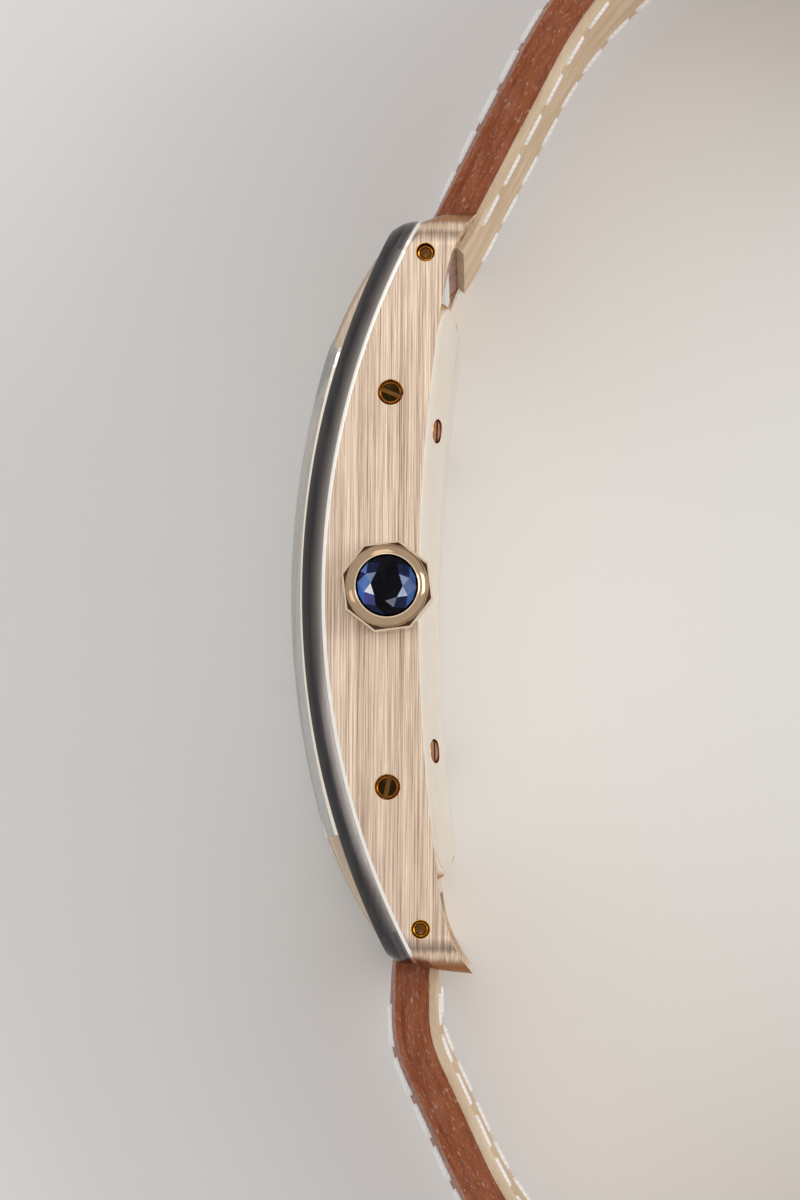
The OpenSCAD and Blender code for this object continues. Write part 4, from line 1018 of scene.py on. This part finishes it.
class Route:
    """Path of a strap half: distance to place and heading, 0 straight out and 90 straight back."""

    def __init__(self, half, side, start, runs):
        self.half, self.body = half, "strap_" + half
        self.side, self.start, self.runs = side, start, runs
        self.length = sum(r[0] for r in runs)
        rings = ceil(self.length / 2)
        self.step = self.length / rings / 4
        y, z = LUG_HOLE[0], -LUG_HOLE[1]
        self.spots = [(y, z)]
        for i in range(rings * 4):
            h = radians(self.heading(self.step * (i + 0.5)))
            y += self.step * cos(h)
            z -= self.step * sin(h)
            self.spots.append((y, z))

    def heading(self, s):
        before, done = self.start, 0
        for length, after in self.runs:
            if s <= done + length:
                return before + (after - before) * max(s - done, 0) / length
            before, done = after, done + length
        return before

    def at(self, s):
        h = radians(self.heading(s))
        if s < 0 or s >= self.length:
            base = self.spots[0] if s < 0 else self.spots[-1]
            past = s if s < 0 else s - self.length
            return base[0] + past * cos(h), base[1] - past * sin(h), h
        k = s / self.step
        i = min(int(k), len(self.spots) - 2)
        a, b = self.spots[i], self.spots[i + 1]
        return a[0] + (b[0] - a[0]) * (k - i), a[1] + (b[1] - a[1]) * (k - i), h

    def half_width(self, s):
        w = 10 - 1.6 * clamp((s - 3) / 55)
        if self.side > 0:
            tip = max((s - (self.length - 12)) / 12, 0)
            w *= sqrt(max(1 - tip**2.4, 0.05))
        return w

    def padding(self, s):
        return 0.35 * clamp(s / 8, 0.2) * clamp((self.length - s - 46) / 15)


# First heading in degrees, then the length of each run and the heading that it ends at.
ROUTE_12 = Route("12", -1, 45, [(1.5, 45), (0.8, 27), (12, 27), (43, 125), (18, 125)])
ROUTE_6 = Route("6", 1, -8, [(1.8, -8), (0.8, 0), (2.4, 0), (3.2, 25), (6.3, 25), (50, 140), (45.5, 140)])


def lay_along(piece, route):
    """Bends a piece modelled straight (x along, y into the strap, z across) onto its route."""
    mesh = piece.data
    marks = mesh.attributes.new("strap_place", "FLOAT_VECTOR", "POINT")
    for i, v in enumerate(mesh.vertices):
        marks.data[i].vector = v.co
        out, up, h = route.at(v.co.x)
        lift = -v.co.y
        v.co = (route.side * (out + lift * sin(h)), -(up + lift * cos(h)), MID_Z + v.co.z)
    mesh.update()
    outwards(piece, 0.0001)


def straight_sheet(name, x0, x1, columns, rows):
    """Flat sheet facing the front, for a strap layer before it is bent."""
    deselect()
    bpy.ops.mesh.primitive_grid_add(x_subdivisions=columns, y_subdivisions=rows, size=1)
    piece = fresh(name)
    edit_all(piece)
    bpy.ops.transform.translate(value=(0.5, 0.5, 0))
    bpy.ops.object.mode_set(mode="OBJECT")
    for v in piece.data.vertices:
        u, w = v.co.x, v.co.y
        v.co = (x0 + (x1 - x0) * u, 0, 2 * w - 1)
    return piece


def groove(w, half):
    """Depth pressed in along the stitch lines."""
    gap = abs(abs(w) - (half - STITCH_INSET))
    return 0.13 * exp(-((gap / 0.42) ** 2))


def rough(x, w, layer, size):
    """Unevenness of a cut edge, other in each layer."""
    return size * noise.noise(Vector((x * 1.3, layer * 1.7, w * 0.9 + 5.0 * layer)))


def build_leather(route, end):
    """The padded front layer of a strap half, still straight, drawn down layer by layer."""
    sheet = straight_sheet("leather_" + route.half, 0.0, end, int(end / 0.7), 26)
    for v in sheet.data.vertices:
        half, share = route.half_width(v.co.x), abs(v.co.z)
        swell = route.padding(v.co.x) * (1 - clamp((share - 0.80) / 0.17) ** 1.5)
        near_edge = max(0, share - 0.93) / 0.07
        w = v.co.z * half
        v.co = (v.co.x, -(LEATHER_HIGH + swell - groove(w, half) - 0.16 * near_edge**2), w)
    # Height of each layer's lower side, and how far its rim lies inwards.
    rims = {0.95: 0.02, 0.80: 0.10, 0.72: 0.05, 0.35: 0.0, -0.1: 0.0, -0.5: 0.0, LEATHER_LOW: 0.04}
    layers = list(rims)
    edit_all(sheet)
    before = LEATHER_HIGH
    for level in layers:
        draw(0, before - level, 0)
        before = level
    deselect()
    for v in sheet.data.vertices:
        lift = -v.co.y
        if lift < 0.99 and abs(lift - LEATHER_HIGH) > 0.3:
            level = min(layers, key=lambda k: abs(k - lift)) if lift > LEATHER_LOW + 0.2 else LEATHER_LOW
            v.co.y = -level
            if abs(abs(v.co.z) - route.half_width(v.co.x)) < 0.02:
                v.co.z += -copysign(rims[level], v.co.z) + rough(v.co.x, v.co.z, level, 0.07)
    outwards(sheet, 0.00005)
    cover(sheet, front_leather)
    return sheet


def eye(name, radius, at, half):
    """Fold of leather round a bar."""
    loop = rod(name, radius, at, 0, -half, half, 40)
    edit_chosen(loop, faces=lambda c, n: abs(n.z) > 0.9)
    bevel_chosen(0.12, 2)
    return loop


def finish_leather(route, *pieces):
    leather = join("leather_" + route.half, [*pieces, eye("lug_fold", 1.3, 0.0, 9.95)])
    paint(leather, edge_leather, lambda c, n: abs(n.z) > 0.55 or abs(n.x) > 0.75)
    lay_along(leather, route)
    set_down(leather, route.body, [route.body + "_leather"], 40)


def build_lining(route, end, slots):
    """The thin back layer of a strap half, set in a little under the leather."""
    start, set_in = 1.7, 0.08
    sheet = straight_sheet("lining_" + route.half, start, end, int((end - start) / 0.9), 12)
    for v in sheet.data.vertices:
        v.co.z *= route.half_width(v.co.x) - set_in
        v.co.y = -LEATHER_LOW
    edit_all(sheet)
    draw(0, 0.4, 0)
    draw(0, 0.18, 0)
    deselect()
    for v in sheet.data.vertices:
        half = route.half_width(v.co.x) - set_in
        if abs(v.co.y + LINING_LOW) < 0.01:
            v.co.z *= (half - 0.16) / half
            v.co.y -= groove(v.co.z, half) * 0.7
    outwards(sheet, 0.00005)
    cover(sheet, cream_lining)
    for tool in slots:
        cut(sheet, tool)
    lay_along(sheet, route)
    set_down(sheet, route.body, [route.body + "_lining"], 40)


def build_stitches(route, first, last, face):
    """Rows of thick thread along both edges of the front, face 1, or of the back, face -1."""
    name = "thread_" + route.half + ("_front" if face > 0 else "_back")
    lift = LEATHER_HIGH + 0.03 if face > 0 else LINING_LOW - 0.03
    count = int((last - first) / STITCH_PITCH)
    rows = []
    for sign in (-1, 1):
        stitch = cylinder(name, 0.40, 1.9, (0, 0, 0), 10, (0, 90, 0))
        edit_chosen(stitch, faces=lambda c, n: abs(n.x) > 0.9)
        bpy.ops.mesh.inset(thickness=0.13, depth=0.16)
        take_all()
        bpy.ops.transform.resize(value=(1, 0.85, 1))
        bpy.ops.transform.rotate(value=radians(9 * sign), orient_axis="Y", center_override=(0, 0, 0))
        deselect()
        for v in stitch.data.vertices:
            v.co.y += face * 0.30 * (v.co.x / 1.1) ** 2
        apply_modifier(
            stitch, "ARRAY", count=count, use_relative_offset=False, use_constant_offset=True,
            constant_offset_displace=(STITCH_PITCH, 0, 0),
        )
        for v in stitch.data.vertices:
            x = v.co.x + first + 1.0
            swell = route.padding(x) * 0.93 if face > 0 else 0
            v.co = (x, v.co.y - lift - swell, v.co.z + sign * (route.half_width(x) - STITCH_INSET))
        rows.append(stitch)
    thread = join(name, rows)
    cover(thread, stitch_white)
    lay_along(thread, route)
    set_down(thread, route.body, [], 60)


def build_strap_12():
    """Buckle half: folded round the buckle bar, with a slot for the tang."""
    route = ROUTE_12
    bar_at = route.length + 1.6

    def tang_slot():
        return box("tang_slot", (8.4, 9, 2.1), (bar_at, 0, 0))

    leather = build_leather(route, bar_at)
    fold = eye("fold", 1.2, bar_at, 8.4)
    for piece in (leather, fold):
        cut(piece, tang_slot())
    finish_leather(route, leather, fold)
    build_lining(route, route.length - 0.2, [tang_slot()])
    build_stitches(route, 3.6, route.length - 2.4, 1)
    build_stitches(route, 3.6, route.length - 2.4, -1)


def strap_holes():
    return [cylinder("punch", 0.95, 9, (ROUTE_6.length - 18 - 5 * i, 0, 0), 40, (90, 0, 0)) for i in range(6)]


def build_strap_6():
    """Long half, with its six holes."""
    route = ROUTE_6
    leather = build_leather(route, route.length)
    for tool in strap_holes():
        cover(tool, edge_leather)
        cut(leather, tool)
    finish_leather(route, leather)
    build_lining(route, route.length - 0.12, strap_holes())
    build_stitches(route, 4.6, route.length - 10, 1)
    build_stitches(route, 3.9, route.length - 10, -1)


def build_keeper(name, node, body, back, room):
    """Leather loop round two layers of strap, with rounded corners and rims."""
    strap, slack = 2.73, 0.9
    low = LINING_LOW - room
    high = low + 2 * strap + slack
    mid, tall = (low + high) / 2, (high - low) / 2
    x = ROUTE_12.length - back + 2

    def ring(hz, hy, corner, length):
        block = box(name, (length, 2 * hy, 2 * hz), (x, -mid, 0))
        edit_chosen(block, edges=lambda a, b: abs(a.x - b.x) > 0.5 * length)
        bevel_chosen(corner, 8)
        return block

    keeper = ring(9.8, tall + 1, 1.2, 4.0)
    cut(keeper, ring(8.8, tall, 0.4, 6.0))
    outwards(keeper)
    soften(keeper, 0.22, 40, 3)
    cover(keeper, front_leather)
    paint(keeper, edge_leather, lambda c, n: abs(n.x) > 0.8)
    lay_along(keeper, ROUTE_12)
    set_down(keeper, body, [node], 35)


def refine(node, name, body, width):
    """A merged copy of a small rigid CAD piece of the buckle, with softened edges."""
    piece = copy_of(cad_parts[node], name)
    piece.parent = None
    piece.matrix_world = Matrix.Identity(4)
    for key in list(piece.keys()):
        del piece[key]
    cover(piece, buckle_gold)
    edit_all(piece)
    merge_close(0.000002)
    bpy.ops.mesh.dissolve_limited(angle_limit=radians(0.5))
    deselect()
    soften(piece, width * MM, 35, 3)
    put_on(piece, body, [node], 38)


# Camera, floor and lights


def set_camera():
    """The photograph's view: almost straight down on the crown flank, 12 o'clock up."""
    back = Vector((0.0559, 0.0164, 1)).normalized()
    up = Vector((-1, 0, 0))
    up = (up - back * up.dot(back)).normalized()
    right = up.cross(back)
    roll = radians(-0.441)
    c, s = cos(roll), sin(roll)
    up, right = up * c + right * s, right * c - up * s
    deselect()
    bpy.ops.object.camera_add()
    camera = bpy.context.object
    camera.data.lens = 143.25
    camera.data.sensor_width = 36
    camera.data.clip_start, camera.data.clip_end = 0.01, 20
    spot = Vector((0, 0, FLANK_TOP * MM)) + back * 0.28 + right * 0.001652 - up * 0.000654
    camera.matrix_world = Matrix.Translation(spot) @ Matrix((right, up, back)).transposed().to_4x4()
    bpy.context.scene.camera = camera


def set_floor():
    deselect()
    bpy.ops.mesh.primitive_plane_add(size=6, location=(0, 0, 0))
    floor = fresh("floor")
    f = Finish("pale_floor", (0.87, 0.865, 0.855), 0.0, 0.85)
    cloud = f.grain(f.place(0.02, 0.02, 0.02), 1.0, 3.0)
    f.paint(f.vary(cloud, (0.85, 0.845, 0.835), (0.89, 0.885, 0.875)))
    floor.data.materials.append(f.material)


def set_lights():
    """Three soft boxes that look at the case, and a pale world that mirrors see a little brighter."""
    for name, size, power, place, tint in (
        ("key", (0.26, 0.30), 0.95, (-0.06, 0.46, 0.30), (1.0, 0.985, 0.965)),
        ("overhead", (0.20, 0.5), 0.30, (-0.30, -0.05, 0.52), (1, 1, 1)),
        ("dial_side", (0.16, 0.4), 0.20, (0.12, -0.50, 0.30), (1, 1, 1)),
    ):
        deselect()
        bpy.ops.object.light_add(type="AREA", location=place)
        light = bpy.context.object
        light.name = name
        light.data.shape = "RECTANGLE"
        light.data.size, light.data.size_y = size
        light.data.energy = power
        light.data.color = tint
        light.rotation_mode = "QUATERNION"
        light.rotation_quaternion = (Vector(place) - Vector((0, 0, 0.013))).to_track_quat("Z", "Y")

    world = bpy.data.worlds.new("studio")
    bpy.context.scene.world = world
    world.use_nodes = True
    nodes, link = world.node_tree.nodes, world.node_tree.links.new
    background = nodes["Background"]
    background.inputs["Color"].default_value = (1.0, 0.99, 0.975, 1)
    rays = nodes.new("ShaderNodeLightPath").outputs
    seen = rays["Is Camera Ray"]
    for ray in ("Is Glossy Ray", "Is Transmission Ray"):
        either = nodes.new("ShaderNodeMath")
        either.operation = "MAXIMUM"
        link(seen, either.inputs[0])
        link(rays[ray], either.inputs[1])
        seen = either.outputs[0]
    strength = nodes.new("ShaderNodeMapRange")
    strength.inputs["To Min"].default_value = 0.62
    strength.inputs["To Max"].default_value = 0.8
    link(seen, strength.inputs["Value"])
    link(strength.outputs["Result"], background.inputs["Strength"])
    bpy.context.scene.view_settings.view_transform = "Standard"


# Making


set_camera()
set_floor()
set_lights()

for build in (
    build_case, build_bezel, build_crystal, build_back, build_flank_screws, build_back_screws, build_lug_bars,
    build_crown, build_stone, build_strap_12, build_strap_6,
):
    build()
build_keeper("fixed_loop", "fixed_keeper", "strap_12", 7, 0)
build_keeper("free_loop", "free_keeper", "keeper_body", 14, 0.15)
refine("buckle_frame", "buckle_frame_polished", "buckle", 0.16)
refine("buckle_bar", "buckle_bar_polished", "buckle", 0.05)
refine("buckle_tang", "buckle_tang_polished", "tang", 0.1)

dial_cream = brushed("dial_sunray", (0.80, 0.76, 0.66), (1.5, 3, 1.5), 0.35, 0.06, 0.001)
marker_gold = polished("marker_gold", (0.80, 0.52, 0.33), 0.15)
hand_gold = polished("hand_gold", (0.72, 0.42, 0.26), 0.16)
works_brass = brushed("works_brass", (0.78, 0.60, 0.30), (1, 4, 1), 0.3, 0.1, 0.001)
works_plate = brushed("works_plate", (0.70, 0.66, 0.58), (1, 4, 1), 0.3, 0.1, 0.001)
blued = polished("blued_steel", (0.04, 0.07, 0.30), 0.2)
ruby = polished("ruby", (0.5, 0.02, 0.06), 0.15)
seal_black = polished("seal_rubber", (0.02, 0.02, 0.02), 0.5)
dress(["dial"], dial_cream)
dress(["hour_markers"], marker_gold)
dress(["minute_hand", "hour_hand"], hand_gold)
dress(["crystal_gasket", "back_gasket", "crown_gasket"], seal_black)
dress(["crown_tube", "stem", "setting_lever", "escape_wheel", "pallet_fork", "casing_ring"], steel_bright)
dress(["mainplate", "barrel_bridge", "train_bridge", "balance_cock", "pallet_bridge"], works_plate)
dress([
    "clutch_wheel", "barrel", "center_wheel", "third_wheel", "fourth_wheel", "balance_wheel", "cannon_pinion",
    "minute_wheel", "hour_wheel",
], works_brass)
dress(["movement_screws", "hairspring"], blued)
dress(["jewels"], ruby)
